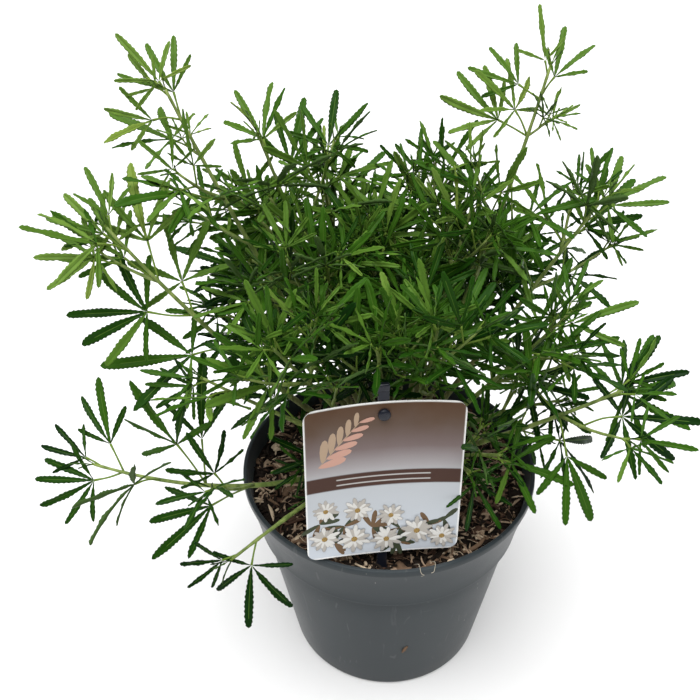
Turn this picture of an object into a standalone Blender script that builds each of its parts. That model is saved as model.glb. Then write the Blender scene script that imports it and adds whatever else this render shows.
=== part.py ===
"""Mexican orange blossom with narrow leaves, a young shrub in its round grey nursery pot.

Metres, +Z up. The origin is the middle of the pot's flat underside. +X is the right of the
plant as it is looked at from the side of its label, and -Y points to the viewer.

Every shoot rises from one short woody foot: a bare bough first, then a leafy mass. A mass
grows by one rule with a seed of its own, so that the same shoot always bears the same leaves.
"""

import math
import random
from collections import namedtuple

import bmesh
import bpy
import numpy as np
from mathutils import Matrix, Quaternion, Vector
from mathutils.bvhtree import BVHTree

UP = Vector((0, 0, 1))
GAP = 0.0003
# Points nearer than this are one
WELD = 0.000001
SCREW_WELD = 0.00001
HAIR = 0.0001

# Pot
POT_HEIGHT = 0.150
RIM_RADIUS = 0.095
RIM_EDGE = 0.0012
COLLAR_DEPTH = 0.039
COLLAR_FOOT_RADIUS = 0.0872
LEDGE = 0.0030
BASE_RADIUS = 0.0665
BASE_EDGE = 0.003
WALL = 0.0024
FLOOR = 0.003
POT_STEPS = 48

# Soil
SOIL_TOP = 0.1375
SOIL_MOUND = 0.003
SOIL_FLAT_RADIUS = 0.020
SOIL_STEPS = 36

# Woody foot: (share of its height, radius) from the ground up, and the rings of boughs on it
FOOT_HEIGHT = 0.042
FOOT_OUTLINE = ((0, 0.0155), (0.08, 0.0130), (0.35, 0.0105), (0.92, 0.0085), (1, 0.0065))
FOOT_STEPS = 20
RING_LEVELS = (0.30, 0.56, 0.82)

# Label card on its stake
CARD_WIDTH = 0.087
CARD_HEIGHT = 0.102
CARD_THICKNESS = 0.0006
CARD_CORNER = 0.006
CARD_MIDDLE = Vector((-0.007, -0.0815, 0.1525))
CARD_LEAN = math.radians(7)
CARD_YAW = math.radians(7)
CARD_ROLL = math.radians(-1)
CARD_BEND_TOP = 0.006
CARD_BEND_FOOT = 0.002
CARD_FOLDS = 8
CARD_HOLE_RADIUS = 0.0022
CARD_HOLE_DROP = 0.0075
STAKE_WIDTH = 0.006
STAKE_THICKNESS = 0.0028
STAKE_DEPTH = 0.026
STAKE_RISE = 0.010
BUTTON_RADIUS = 0.0034
BUTTON_THICKNESS = 0.0022

# Stems: radius of a bough at the foot and at its end, and of the three-sided stems from their
# middle to their corners, where a mass begins, at its tip, and on a side twig
BOUGH_RADIUS = 0.0023
BOUGH_END_RADIUS = 0.0017
STEM_RADIUS = 0.0023
STEM_TIP_RADIUS = 0.0014
TWIG_RADIUS = 0.0017
BOUGH_STEPS = 5
STEM_STEPS = 5

# Leaves: the distances of the leaf pairs from the tip of their stem, then, for each pair from
# the tip down, the petiole's length, its angle to the stem, and the length of a leaflet
PAIR_PLACES = (0.004, 0.017, 0.038, 0.064, 0.093, 0.124, 0.156)
PETIOLES = (0.009, 0.016, 0.021, 0.024, 0.026, 0.026, 0.026)
PETIOLE_ANGLES = (24, 40, 50, 56, 60, 62, 64)
LEAFLETS = (0.029, 0.038, 0.043, 0.045, 0.046, 0.045, 0.044)
LEAFLET_WIDTH = 0.0084
LEAFLET_WIDEST = 0.56
FULL_WIDTH_LENGTH = 0.047
SOLID_LEAFLETS = 5
NOTCH_RADIUS = 0.0024
LEAF_THICKNESS = 0.0009
PETIOLE_WIDTH = 0.0014
PETIOLE_ROOT = 0.0003
LEAFLET_COUNTS = (5, 5, 5, 6, 7)
TIP_LEAFLET_COUNTS = (3, 4, 5)
# How much shorter the outermost leaflet is, how a leaflet bends down, and how wide a fan is
SIDE_SHARE = 0.36
LEAF_DROOP = 2.2
FAN_ANGLE = 26
FAN_ANGLE_EACH = 13
# How much a leaf's angle, roll, length, rise and facing differ from leaf to leaf
PETIOLE_PLAY = 8
ROLL_PLAY = 12
PETIOLE_SHARES = (0.8, 1.15)
LENGTH_SHARES = (0.88, 1.12)
FAN_SHARES = (0.9, 1.1)
PETIOLE_RISES = (0, 0.25)
AXIS_RISES = (-0.25, 0.2)
FACE_ALONG = 0.4
FACE_LIGHT = Vector((0, -0.42, 0.62))
FACE_PLAY = 0.26
TWIG_PLACES = (0.003, 0.014, 0.030, 0.050)
TWIG_SCALE = 0.86
TWIG_LENGTHS = (0.034, 0.062)
TWIG_ANGLE = 42
TWIG_PLAY = 20
TWIG_RISE = 0.18
TWIG_SAG = 0.05
TOP_TWIG_SHARE = 0.75
# The first pair that may have a twig in its axil, counted from the tip
FIRST_TWIG_PAIR = 2
END_CLEARANCE = 0.003
CLEARANCE = 0.0006
# A leaf keeps this far from bare limbs, from the pot and soil, and out of the sight of the card
LIMB_DISTANCE = 0.0028
POT_DISTANCE = 0.002
CARD_CLEAR_LEFT = -0.043
CARD_CLEAR_RIGHT = 0.026
CARD_CLEAR_TOP = 0.100
SIGHT_SLOPE = 0.78
BEHIND_CARD = 0.012
# The shares of a petiole and of a leaflet that are tested for what they would touch
PETIOLE_TESTS = (0.5, 1)
LEAFLET_TESTS = (0.3, 0.55, 0.8, 1)
# A level side shorter than this is taken from a stem that stands upright
UPRIGHT_SIDE = 0.05
# The pairs of leaves that a solid carries first, after the large ones, and how much later the
# leaves of its side twigs come
MIDDLE_RANK = 2
TWIG_RANK = 0.5
# Share of a fused mass's triangles that stays when the slivers at its joins are taken out
KEPT_TRIANGLES = 0.72

Shoot = namedtuple("Shoot", "name azimuth reach height bow swing bare twigs full leaves size droop")
# azimuth in degrees, reach and height of the tip in metres; bow and swing bend the shoot upward
# and sideways; bare is the share that is bough; twigs is the number of side twigs; full is the
# share of the leaves that hasn't dropped; leaves is the most that its solid carries; size scales
# its leaves, and droop lets them hang
SHOOTS = (
    Shoot("upper_left", 170, 0.120, 0.390, -0.010, 0.010, 0.42, 2, 0.7, 7, 0.95, 0),
    Shoot("left", -170, 0.150, 0.335, -0.005, 0.035, 0.36, 1, 0.6, 8, 1.05, 0.05),
    Shoot("left_low", -155, 0.115, 0.255, 0.005, 0.020, 0.40, 0, 0.5, 4, 1.00, 0.15),
    Shoot("left_arch", -160, 0.180, 0.205, 0.000, 0.050, 0.30, 1, 0.6, 8, 1.10, 0.2),
    Shoot("over_rim", -135, 0.130, 0.160, 0.020, 0.010, 0.45, 0, 0.6, 4, 1.10, 0.4),
    Shoot("left_front", -125, 0.085, 0.185, 0.010, 0.005, 0.42, 3, 0.9, 4, 1.00, 0.3),
    Shoot("top_left", 150, 0.085, 0.355, -0.010, 0.000, 0.45, 4, 0.7, 5, 1.00, 0),
    Shoot("top_inner", 165, 0.070, 0.330, -0.005, -0.010, 0.45, 3, 0.7, 4, 1.00, 0),
    Shoot("top_middle", 115, 0.090, 0.320, -0.010, 0.010, 0.42, 4, 0.7, 4, 0.95, 0),
    Shoot("top_right", 70, 0.090, 0.320, -0.010, -0.005, 0.42, 4, 0.7, 4, 0.95, 0),
    Shoot("tall_right", 30, 0.100, 0.390, -0.020, -0.010, 0.42, 2, 0.8, 7, 0.90, 0),
    Shoot("right_upper", 10, 0.120, 0.325, -0.010, 0.005, 0.42, 2, 0.7, 7, 1.00, 0),
    Shoot("right_middle", -15, 0.100, 0.280, -0.005, -0.005, 0.40, 2, 0.7, 5, 0.95, 0),
    Shoot("right_low", -25, 0.135, 0.250, 0.005, -0.020, 0.42, 1, 0.6, 6, 1.10, 0.2),
    Shoot("right_front", -50, 0.090, 0.215, 0.005, 0.005, 0.42, 3, 0.9, 4, 0.95, 0.1),
    Shoot("centre_right", -70, 0.060, 0.290, -0.005, 0.005, 0.32, 4, 0.9, 5, 1.00, 0),
    Shoot("centre_front", -100, 0.060, 0.280, 0.000, 0.000, 0.34, 5, 0.9, 4, 1.00, 0),
    Shoot("centre_left", -135, 0.090, 0.285, -0.005, 0.005, 0.32, 4, 0.9, 4, 1.00, 0),
    Shoot("inner_left", -165, 0.060, 0.310, -0.005, -0.005, 0.32, 4, 0.9, 4, 1.00, 0),
    Shoot("inner_right", 25, 0.050, 0.320, -0.005, 0.005, 0.32, 4, 0.9, 4, 1.00, 0),
    Shoot("inner_top", 110, 0.030, 0.310, 0.000, 0.000, 0.30, 5, 0.9, 4, 1.00, 0),
    Shoot("back_left", 140, 0.120, 0.260, 0.000, 0.010, 0.38, 4, 0.9, 4, 1.00, 0),
    Shoot("back_right", 50, 0.125, 0.260, 0.000, -0.010, 0.38, 4, 0.9, 4, 1.00, 0),
    Shoot("back", 95, 0.115, 0.270, -0.005, 0.005, 0.30, 4, 0.9, 4, 1.00, 0),
    Shoot("back_low_left", 120, 0.140, 0.205, 0.010, -0.010, 0.36, 4, 0.9, 4, 1.05, 0.15),
    Shoot("back_low_right", 70, 0.140, 0.205, 0.010, 0.010, 0.36, 4, 0.9, 4, 1.05, 0.15),
    Shoot("side_right", -5, 0.105, 0.205, 0.005, 0.010, 0.38, 2, 0.7, 4, 0.90, 0.3),
)

# The large leaves that shape the outline, seen flat from the label's side. pair counts the pairs
# of leaves down from the stem's tip, and clock is the way that the leaf points there, in degrees
# from the right. Each leaflet opens its leaf by FAN_OPENING degrees
Fan = namedtuple("Fan", "shoot pair clock count")
FAN_OPENING = 12
FAN_PLAY = 0.3
FAN_RANK = -2
SIGHT_PITCH = math.radians(35)
SIGHT_UP = Vector((0, math.sin(SIGHT_PITCH), math.cos(SIGHT_PITCH)))
SIGHT_RIGHT = Vector((1, 0, 0))
FANS = (
    Fan("upper_left", 1, 105, 4),
    Fan("upper_left", 1, 180, 4),
    Fan("upper_left", 0, 145, 4),
    Fan("left", 1, 145, 4),
    Fan("left", 0, 100, 4),
    Fan("left", 2, 145, 5),
    Fan("left", 3, 175, 7),
    Fan("left", 2, 105, 5),
    Fan("left_low", 0, 195, 6),
    Fan("left_arch", 1, 115, 4),
    Fan("left_arch", 1, 195, 6),
    Fan("left_arch", 0, 150, 4),
    Fan("left_arch", 3, 95, 3),
    Fan("left_arch", 4, 205, 4),
    Fan("over_rim", 0, 200, 4),
    Fan("tall_right", 1, 145, 4),
    Fan("tall_right", 1, 55, 4),
    Fan("tall_right", 2, 150, 6),
    Fan("tall_right", 3, 270, 5),
    Fan("right_upper", 0, 85, 4),
    Fan("right_upper", 2, 45, 5),
    Fan("right_upper", 2, 130, 4),
    Fan("right_middle", 0, 70, 5),
    Fan("right_low", 0, 45, 5),
    Fan("right_low", 1, 30, 4),
    Fan("right_low", 2, 280, 4),
    Fan("right_low", 2, 130, 5),
    Fan("top_left", 1, 105, 6),
    Fan("top_left", 2, 80, 5),
    Fan("top_inner", 0, 100, 5),
    Fan("inner_left", 0, 100, 6),
    Fan("centre_right", 0, 100, 7),
)

Stem = namedtuple("Stem", "points start_radius end_radius")
Leaf = namedtuple("Leaf", "base hub axis face length count spread rank")


def material(name, colour, roughness):
    """A plain plastic, bark or leaf surface in one colour."""
    made = bpy.data.materials.new(name)
    made.use_nodes = True
    surface = made.node_tree.nodes["Principled BSDF"]
    surface.inputs["Base Color"].default_value = (*colour, 1)
    surface.inputs["Roughness"].default_value = roughness
    surface.inputs["Metallic"].default_value = 0
    made.diffuse_color = (*colour, 1)
    return made


def place(name, data, surface, collection):
    """Adds a named object with its own surface."""
    made = bpy.data.objects.new(name, data)
    collection.objects.link(made)
    data.materials.clear()
    data.materials.append(surface)
    return made


def finished(obj):
    """The mesh of the object with its modifiers worked out."""
    graph = bpy.context.evaluated_depsgraph_get()
    return bpy.data.meshes.new_from_object(obj.evaluated_get(graph))


def turned(name, profile, steps, surface, collection):
    """A profile of (radius, height) turned round the upright axis."""
    mesh = bpy.data.meshes.new(name)
    shape = bmesh.new()
    corners = [shape.verts.new((radius, 0, height)) for radius, height in profile]
    for first, second in zip(corners, corners[1:]):
        shape.edges.new((first, second))
    shape.to_mesh(mesh)
    shape.free()
    made = place(name, mesh, surface, collection)
    screw = made.modifiers.new("turn", "SCREW")
    screw.steps = steps
    screw.render_steps = steps
    screw.use_merge_vertices = True
    screw.merge_threshold = SCREW_WELD
    screw.use_smooth_shade = True
    return made


# Pot and soil


def pot_wall(inset):
    """Radius and height down the pot's wall, from the rim to the base, set in by inset."""
    collar_foot = POT_HEIGHT - COLLAR_DEPTH
    return [
        (RIM_RADIUS - inset, POT_HEIGHT),
        (COLLAR_FOOT_RADIUS - inset, collar_foot),
        (COLLAR_FOOT_RADIUS - LEDGE - inset, collar_foot - LEDGE),
        (BASE_RADIUS - inset, 0),
    ]


def wall_radius(height, inset):
    """Radius of the pot's wall at a height, set in by inset."""
    wall = pot_wall(inset)
    for (upper, top), (lower, bottom) in zip(wall, wall[1:]):
        if height >= bottom:
            return lower + (upper - lower) * (height - bottom) / (top - bottom)
    return wall[-1][0]


def make_pot(collection):
    outer = pot_wall(0)
    inner = pot_wall(WALL)
    profile = [(0, FLOOR), (wall_radius(FLOOR, WALL), FLOOR)]
    profile += [inner[2], inner[1]]
    profile += [(inner[0][0], POT_HEIGHT - RIM_EDGE), (inner[0][0] + RIM_EDGE / 2, POT_HEIGHT)]
    profile += [(RIM_RADIUS - RIM_EDGE / 2, POT_HEIGHT), (RIM_RADIUS, POT_HEIGHT - RIM_EDGE)]
    profile += [outer[1], outer[2], (wall_radius(BASE_EDGE, 0), BASE_EDGE)]
    profile += [(BASE_RADIUS - BASE_EDGE, 0), (0, 0)]
    grey = material("grey_plastic", (0.105, 0.118, 0.125), 0.5)
    return turned("pot", profile, POT_STEPS, grey, collection)


def make_soil(collection):
    low = FLOOR + GAP
    inset = WALL + GAP
    inner = pot_wall(inset)
    top = SOIL_TOP + SOIL_MOUND
    profile = [(0, top), (SOIL_FLAT_RADIUS, top)]
    profile += [((SOIL_FLAT_RADIUS + RIM_RADIUS) / 2, SOIL_TOP + SOIL_MOUND / 3)]
    profile += [(wall_radius(SOIL_TOP, inset), SOIL_TOP), inner[1], inner[2]]
    profile += [(wall_radius(low, inset), low), (0, low)]
    brown = material("bark_mulch", (0.075, 0.042, 0.024), 0.9)
    return turned("soil", profile, SOIL_STEPS, brown, collection)


def make_foot(collection):
    ground = SOIL_TOP + SOIL_MOUND + GAP
    profile = [(radius, ground + FOOT_HEIGHT * share) for share, radius in FOOT_OUTLINE]
    profile = [(0, ground), *profile, (0, ground + FOOT_HEIGHT)]
    bark = material("bark", (0.13, 0.085, 0.045), 0.85)
    return turned("foot", profile[::-1], FOOT_STEPS, bark, collection)


def foot_radius(share):
    """Radius of the foot at a share of its height."""
    for (low, wide), (high, narrow) in zip(FOOT_OUTLINE, FOOT_OUTLINE[1:]):
        if share <= high:
            return wide + (narrow - wide) * (share - low) / (high - low)
    return 0


# Label card and stake


def card_frame():
    """The card's own axes: X across, Z up the card, -Y towards the viewer."""
    turn = Matrix.Rotation(CARD_YAW, 4, "Z") @ Matrix.Rotation(-CARD_LEAN, 4, "X")
    return Matrix.Translation(CARD_MIDDLE) @ turn @ Matrix.Rotation(-CARD_ROLL, 4, "Y")


def card_bend(across, up):
    """How far the card's sides come forward of its middle line."""
    share = up / CARD_HEIGHT
    bend = CARD_BEND_FOOT + (CARD_BEND_TOP - CARD_BEND_FOOT) * share
    return -bend * (2 * across / CARD_WIDTH) ** 2


def card_outline():
    """Corners of the card, anticlockwise, with four points on each round corner."""
    half = CARD_WIDTH / 2 - CARD_CORNER
    high = CARD_HEIGHT - CARD_CORNER
    points = []
    corners = ((half, high, 0), (-half, high, 90), (-half, CARD_CORNER, 180), (half, CARD_CORNER, 270))
    for across, up, first in corners:
        points += arc((across, up), CARD_CORNER, first, first + 90, 4)
    return points


def arc(middle, radius, first, last, count):
    """Points on an arc, angles in degrees."""
    points = []
    for step in range(count):
        angle = math.radians(first + (last - first) * step / (count - 1))
        points.append((middle[0] + radius * math.cos(angle), middle[1] + radius * math.sin(angle)))
    return points


def flat_outline(name, outlines, thickness):
    """A plate from closed outlines, the later ones being holes in the first."""
    curve = bpy.data.curves.new(name, "CURVE")
    curve.dimensions = "2D"
    curve.fill_mode = "BOTH"
    curve.extrude = thickness / 2
    for outline in outlines:
        spline = curve.splines.new("POLY")
        spline.points.add(len(outline) - 1)
        for point, (across, up) in zip(spline.points, outline):
            point.co = (across, up, 0, 1)
        spline.use_cyclic_u = True
    return curve


def make_card(collection):
    """A thin card, cut into upright strips so that it can bend."""
    hole_up = CARD_HEIGHT - CARD_HOLE_DROP
    hole = arc((0, hole_up), CARD_HOLE_RADIUS, 0, 315, 8)
    curve = flat_outline("card_outline", [card_outline(), hole], CARD_THICKNESS)
    flat = place("card_flat", curve, material("card", (0.62, 0.58, 0.56), 0.35), collection)
    mesh = finished(flat)
    bpy.data.objects.remove(flat)
    shape = bmesh.new()
    shape.from_mesh(mesh)
    bmesh.ops.remove_doubles(shape, verts=shape.verts, dist=WELD)
    for fold in range(1, CARD_FOLDS):
        across = CARD_WIDTH * (fold / CARD_FOLDS - 0.5)
        everything = shape.verts[:] + shape.edges[:] + shape.faces[:]
        bmesh.ops.bisect_plane(shape, geom=everything, plane_co=(across, 0, 0), plane_no=(1, 0, 0))
    bmesh.ops.triangulate(shape, faces=shape.faces)
    for vertex in shape.verts:
        across, up, depth = vertex.co
        vertex.co = (across, card_bend(across, up) - depth, up)
    shape.to_mesh(mesh)
    shape.free()
    mesh.transform(card_frame())
    return place("label_card", mesh, mesh.materials[0], collection)


def make_stake(collection, cutters, soil):
    """A flat stake behind the card, with a button through the card's hole."""
    black = material("black_plastic", (0.012, 0.013, 0.018), 0.4)
    back = CARD_THICKNESS / 2 + GAP + STAKE_THICKNESS / 2
    hole_up = CARD_HEIGHT - CARD_HOLE_DROP
    top = CARD_HEIGHT + STAKE_RISE
    low = -STAKE_DEPTH
    blade = place("label_stake", box_mesh(STAKE_WIDTH, STAKE_THICKNESS, top - low), black, collection)
    blade.matrix_world = card_frame() @ Matrix.Translation((0, back, (top + low) / 2))
    lean = Matrix.Translation((0, back, hole_up)) @ Matrix.Rotation(math.radians(90), 4, "X")
    shank_length = back + CARD_THICKNESS / 2 + GAP + BUTTON_THICKNESS
    shank = place("shank", rod_mesh(CARD_HOLE_RADIUS - GAP, shank_length, 12), black, cutters)
    shank.matrix_world = card_frame() @ lean @ Matrix.Translation((0, 0, shank_length / 2))
    button = place("button", rod_mesh(BUTTON_RADIUS, BUTTON_THICKNESS, 16), black, cutters)
    front = back + CARD_THICKNESS / 2 + GAP + BUTTON_THICKNESS / 2
    button.matrix_world = card_frame() @ lean @ Matrix.Translation((0, 0, front))
    for piece in (shank, button):
        join = blade.modifiers.new(piece.name, "BOOLEAN")
        join.operation = "UNION"
        join.solver = "EXACT"
        join.object = piece
    pocket_size = (STAKE_WIDTH + 2 * GAP, STAKE_THICKNESS + 2 * GAP, top - low + 2 * GAP)
    pocket = place("stake_pocket", box_mesh(*pocket_size), black, cutters)
    pocket.matrix_world = blade.matrix_world
    cut = soil.modifiers.new("stake_pocket", "BOOLEAN")
    cut.operation = "DIFFERENCE"
    cut.solver = "EXACT"
    cut.object = pocket
    return blade


def box_mesh(width, depth, height):
    mesh = bpy.data.meshes.new("box")
    shape = bmesh.new()
    bmesh.ops.create_cube(shape, size=1, matrix=Matrix.Diagonal((width, depth, height, 1)))
    shape.to_mesh(mesh)
    shape.free()
    return mesh


def rod_mesh(radius, length, sides):
    mesh = bpy.data.meshes.new("rod")
    shape = bmesh.new()
    bmesh.ops.create_cone(
        shape, cap_ends=True, segments=sides, radius1=radius, radius2=radius, depth=length
    )
    shape.to_mesh(mesh)
    shape.free()
    return mesh


# Growth rule


def level_out(azimuth):
    """The level direction at an azimuth in degrees."""
    return Vector((math.cos(math.radians(azimuth)), math.sin(math.radians(azimuth)), 0))


def steepness(shoot):
    return (shoot.height - SOIL_TOP) / shoot.reach


def starts_on_foot(shoots):
    """Where each bough leaves the foot: steeper ones in higher rings, each ring evenly filled."""
    starts = {}
    by_rise = sorted(shoots, key=steepness)
    for ring, level in enumerate(RING_LEVELS):
        share = len(by_rise) / len(RING_LEVELS)
        members = by_rise[round(ring * share) : round((ring + 1) * share)]
        members.sort(key=lambda shoot: shoot.azimuth)
        step = 360 / len(members)
        turns = [shoot.azimuth - step * place for place, shoot in enumerate(members)]
        first = sum(turns) / len(turns)
        height = SOIL_TOP + SOIL_MOUND + GAP + FOOT_HEIGHT * level
        for place, shoot in enumerate(members):
            out = level_out(first + step * place)
            beside = out * foot_radius(level) + UP * height
            middle, _ = bend_and_tip(shoot, beside)
            heading = (middle - beside).normalized()
            edge = BOUGH_RADIUS * math.sqrt(1 - heading.dot(out) ** 2)
            starts[shoot.name] = beside + out * (edge + GAP)
    return starts


def bend_and_tip(shoot, start):
    """The point that the shoot bends towards on its way, and its tip."""
    out = level_out(shoot.azimuth)
    side = UP.cross(out)
    tip = out * shoot.reach + UP * shoot.height
    return start.lerp(tip, 0.5) + UP * shoot.bow + side * shoot.swing, tip


def shoot_point(shoot, share):
    """A point on the shoot's middle line, from the foot at 0 to the tip at 1."""
    start = STARTS[shoot.name]
    middle, tip = bend_and_tip(shoot, start)
    return start.lerp(middle, share).lerp(middle.lerp(tip, share), share)


def path_points(shoot, first, last, steps):
    return [shoot_point(shoot, first + (last - first) * step / steps) for step in range(steps + 1)]


def path_length(points):
    return sum((second - first).length for first, second in zip(points, points[1:]))


def along(points, distance_from_end):
    """The point, and the direction towards the tip, at a distance back from the end."""
    left = distance_from_end
    for second, first in zip(reversed(points), reversed(points[:-1])):
        step = (second - first).length
        if left <= step:
            return second.lerp(first, left / step), (second - first).normalized()
        left -= step
    return points[0].copy(), (points[1] - points[0]).normalized()


def any_side(direction):
    """A direction square to the given one, level where it can be."""
    side = UP.cross(direction)
    if side.length < UPRIGHT_SIDE:
        side = Vector((1, 0, 0)).cross(direction)
    return side.normalized()


def grow_leaf(draw, base, stem_direction, side, pair, scale, droop, rank):
    """One leaf: a petiole from the stem to a hub, where its leaflets spread like fingers."""
    angle = math.radians(PETIOLE_ANGLES[pair] + draw.uniform(-PETIOLE_PLAY, PETIOLE_PLAY))
    heading = stem_direction * math.cos(angle) + side * math.sin(angle)
    heading = (heading + UP * (draw.uniform(*PETIOLE_RISES) - droop)).normalized()
    petiole = PETIOLES[pair] * scale * draw.uniform(*PETIOLE_SHARES)
    axis = (heading + UP * (draw.uniform(*AXIS_RISES) - droop)).normalized()
    face = stem_direction * FACE_ALONG + FACE_LIGHT + random_direction(draw) * FACE_PLAY
    face = (face - axis * face.dot(axis)).normalized()
    length = LEAFLETS[pair] * scale * draw.uniform(*LENGTH_SHARES)
    count = draw.choice(LEAFLET_COUNTS if pair else TIP_LEAFLET_COUNTS)
    spread = (FAN_ANGLE + FAN_ANGLE_EACH * count) * draw.uniform(*FAN_SHARES)
    return Leaf(base, base + heading * petiole, axis, face, length, count, spread, rank)


def random_direction(draw):
    return Vector((draw.gauss(0, 1), draw.gauss(0, 1), draw.gauss(0, 1))).normalized()


def leaflet_directions(leaf, count):
    """Direction and length of each of count leaflets, fanned about the leaf's axis."""
    side = leaf.axis.cross(leaf.face)
    fan = []
    for index in range(count):
        share = 2 * index / (count - 1) - 1
        angle = math.radians(leaf.spread * share)
        direction = leaf.axis * math.cos(angle) + side * math.sin(angle)
        fan.append((direction, leaf.length * (1 - SIDE_SHARE * abs(share))))
    return fan


def leaf_reach(leaf):
    """Points all over a leaf, to test what it would touch."""
    points = [leaf.base.lerp(leaf.hub, share) for share in PETIOLE_TESTS]
    for direction, length in leaflet_directions(leaf, leaf.count):
        for share in LEAFLET_TESTS:
            run = length * share
            points.append(leaf.hub + direction * run - leaf.face * (LEAF_DROOP * run * run))
    return np.array([tuple(point) for point in points])


def sinks_into_pot(points):
    """True where a point is in or too near the pot's wall or the soil."""
    radius = np.hypot(points[:, 0], points[:, 1])
    over_wall = (radius > RIM_RADIUS - WALL - POT_DISTANCE) & (points[:, 2] < POT_HEIGHT + POT_DISTANCE)
    over_soil = points[:, 2] < SOIL_TOP + SOIL_MOUND + POT_DISTANCE
    return bool(((radius < RIM_RADIUS + POT_DISTANCE) & (over_wall | over_soil)).any())


def hides_card(points):
    """True where a point stands before the card, seen from the front and somewhat above."""
    local = (points - CARD_ORIGIN) @ CARD_AXES
    before = -local[:, 1]
    level = local[:, 2] - SIGHT_SLOPE * before
    across = (local[:, 0] > CARD_CLEAR_LEFT) & (local[:, 0] < CARD_CLEAR_RIGHT)
    return bool((across & (before > -BEHIND_CARD) & (level > 0) & (level < CARD_CLEAR_TOP)).any())


def near_limb(points, name):
    """True where a point is close to a bough, or to the stem of another mass."""
    first, run, owner = LIMBS
    others = owner != name
    first = first[others]
    run = run[others]
    offset = points[:, None, :] - first[None]
    share = np.clip((offset * run[None]).sum(axis=2) / (run * run).sum(axis=1)[None], 0, 1)
    distance = np.linalg.norm(offset - share[:, :, None] * run[None], axis=2)
    return bool((distance < LIMB_DISTANCE).any())


def fits(leaf, name):
    points = leaf_reach(leaf)
    return not (sinks_into_pot(points) or hides_card(points) or near_limb(points, name))


def limb_segments(shoots):
    """Ends of the straight pieces of every limb, and the mass that each belongs to."""
    first = []
    run = []
    owner = []
    for shoot in shoots:
        for begin, end, name in ((0, shoot.bare, "bough"), (shoot.bare, 1, shoot.name)):
            points = path_points(shoot, begin, end, STEM_STEPS)
            first += [tuple(point) for point in points[:-1]]
            run += [tuple(after - before) for before, after in zip(points, points[1:])]
            owner += [name] * STEM_STEPS
    return np.array(first), np.array(run), np.array(owner)


def fan_leaf(draw, points, fan, size):
    """One of the large leaves that shape the outline, in the place of one of its pair."""
    base, _ = along(points, PAIR_PLACES[fan.pair])
    clock = math.radians(fan.clock)
    axis = SIGHT_RIGHT * math.cos(clock) + SIGHT_UP * math.sin(clock)
    face = SIGHT_RIGHT.cross(SIGHT_UP) + random_direction(draw) * FAN_PLAY
    face = (face - axis * face.dot(axis)).normalized()
    hub = base + axis * PETIOLES[fan.pair] * size
    length = LEAFLETS[fan.pair] * size
    return Leaf(base, hub, axis, face, length, fan.count, FAN_OPENING * fan.count, FAN_RANK)


def leaves_on(draw, points, places, turn, scale, shoot, first_rank, taken=()):
    """Opposite pairs of leaves down a stem, each pair a quarter turn from the last."""
    leaves = []
    length = path_length(points)
    for pair, place_from_tip in enumerate(places):
        if place_from_tip > length - END_CLEARANCE:
            break
        base, direction = along(points, place_from_tip)
        level = any_side(direction)
        for half in (0, 180)[taken.count(pair) :]:
            roll = math.radians(turn + 90 * pair + half + draw.uniform(-ROLL_PLAY, ROLL_PLAY))
            side = Quaternion(direction, roll) @ level
            rank = first_rank + pair
            leaf = grow_leaf(draw, base, direction, side, pair, scale, shoot.droop, rank)
            if draw.random() < shoot.full and fits(leaf, shoot.name):
                leaves.append(leaf)
    return leaves


def first_turn(shoot):
    """How far the pair of leaves at the tip is turned about the stem, in degrees."""
    return random.Random(shoot.name + " turn").uniform(0, 90)


def grow(shoot):
    """The stem, twigs and leaves of a shoot's mass, always the same for the same shoot."""
    draw = random.Random(shoot.name)
    points = path_points(shoot, shoot.bare, 1, STEM_STEPS)
    stem = Stem(points, STEM_RADIUS, STEM_TIP_RADIUS)
    fans = [fan for fan in FANS if fan.shoot == shoot.name]
    taken = [fan.pair for fan in fans]
    turn = first_turn(shoot)
    leaves = [fan_leaf(draw, points, fan, shoot.size) for fan in fans]
    leaves = [leaf for leaf in leaves if fits(leaf, shoot.name)]
    leaves += leaves_on(draw, points, PAIR_PLACES, turn, shoot.size, shoot, 0, taken)
    length = path_length(points)
    axils = []
    for pair in range(FIRST_TWIG_PAIR, len(PAIR_PLACES)):
        if PAIR_PLACES[pair] < length - 2 * END_CLEARANCE:
            axils += [(pair, 0), (pair, 180)]
    draw.shuffle(axils)
    twigs = []
    for pair, half in axils[: shoot.twigs]:
        base, direction = along(points, PAIR_PLACES[pair])
        roll = math.radians(turn + 90 * pair + half + draw.uniform(-TWIG_PLAY, TWIG_PLAY))
        side = Quaternion(direction, roll) @ any_side(direction)
        angle = math.radians(TWIG_ANGLE + draw.uniform(-PETIOLE_PLAY, PETIOLE_PLAY))
        heading = direction * math.cos(angle) + side * math.sin(angle)
        share = TOP_TWIG_SHARE if pair == FIRST_TWIG_PAIR else 1
        reach = draw.uniform(*TWIG_LENGTHS) * share
        tip = base + (heading + UP * TWIG_RISE).normalized() * reach
        middle = base.lerp(tip, 0.5) - UP * reach * TWIG_SAG
        twig = Stem([base, middle, tip], TWIG_RADIUS, STEM_TIP_RADIUS)
        twig_turn = draw.uniform(0, 90)
        scale = TWIG_SCALE * shoot.size
        there = leaves_on(draw, twig.points, TWIG_PLACES, twig_turn, scale, shoot, 2)
        if not (hides_card(twig_reach(twig)) or near_limb(twig_reach(twig), shoot.name)):
            twigs.append((twig, there))
    return stem, leaves, twigs


def twig_reach(twig):
    """Points along a twig, from just clear of its stem."""
    base, middle, tip = twig.points
    return np.array([tuple(base.lerp(middle, 0.5)), tuple(middle), tuple(tip)])


# Solids of a mass


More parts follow.
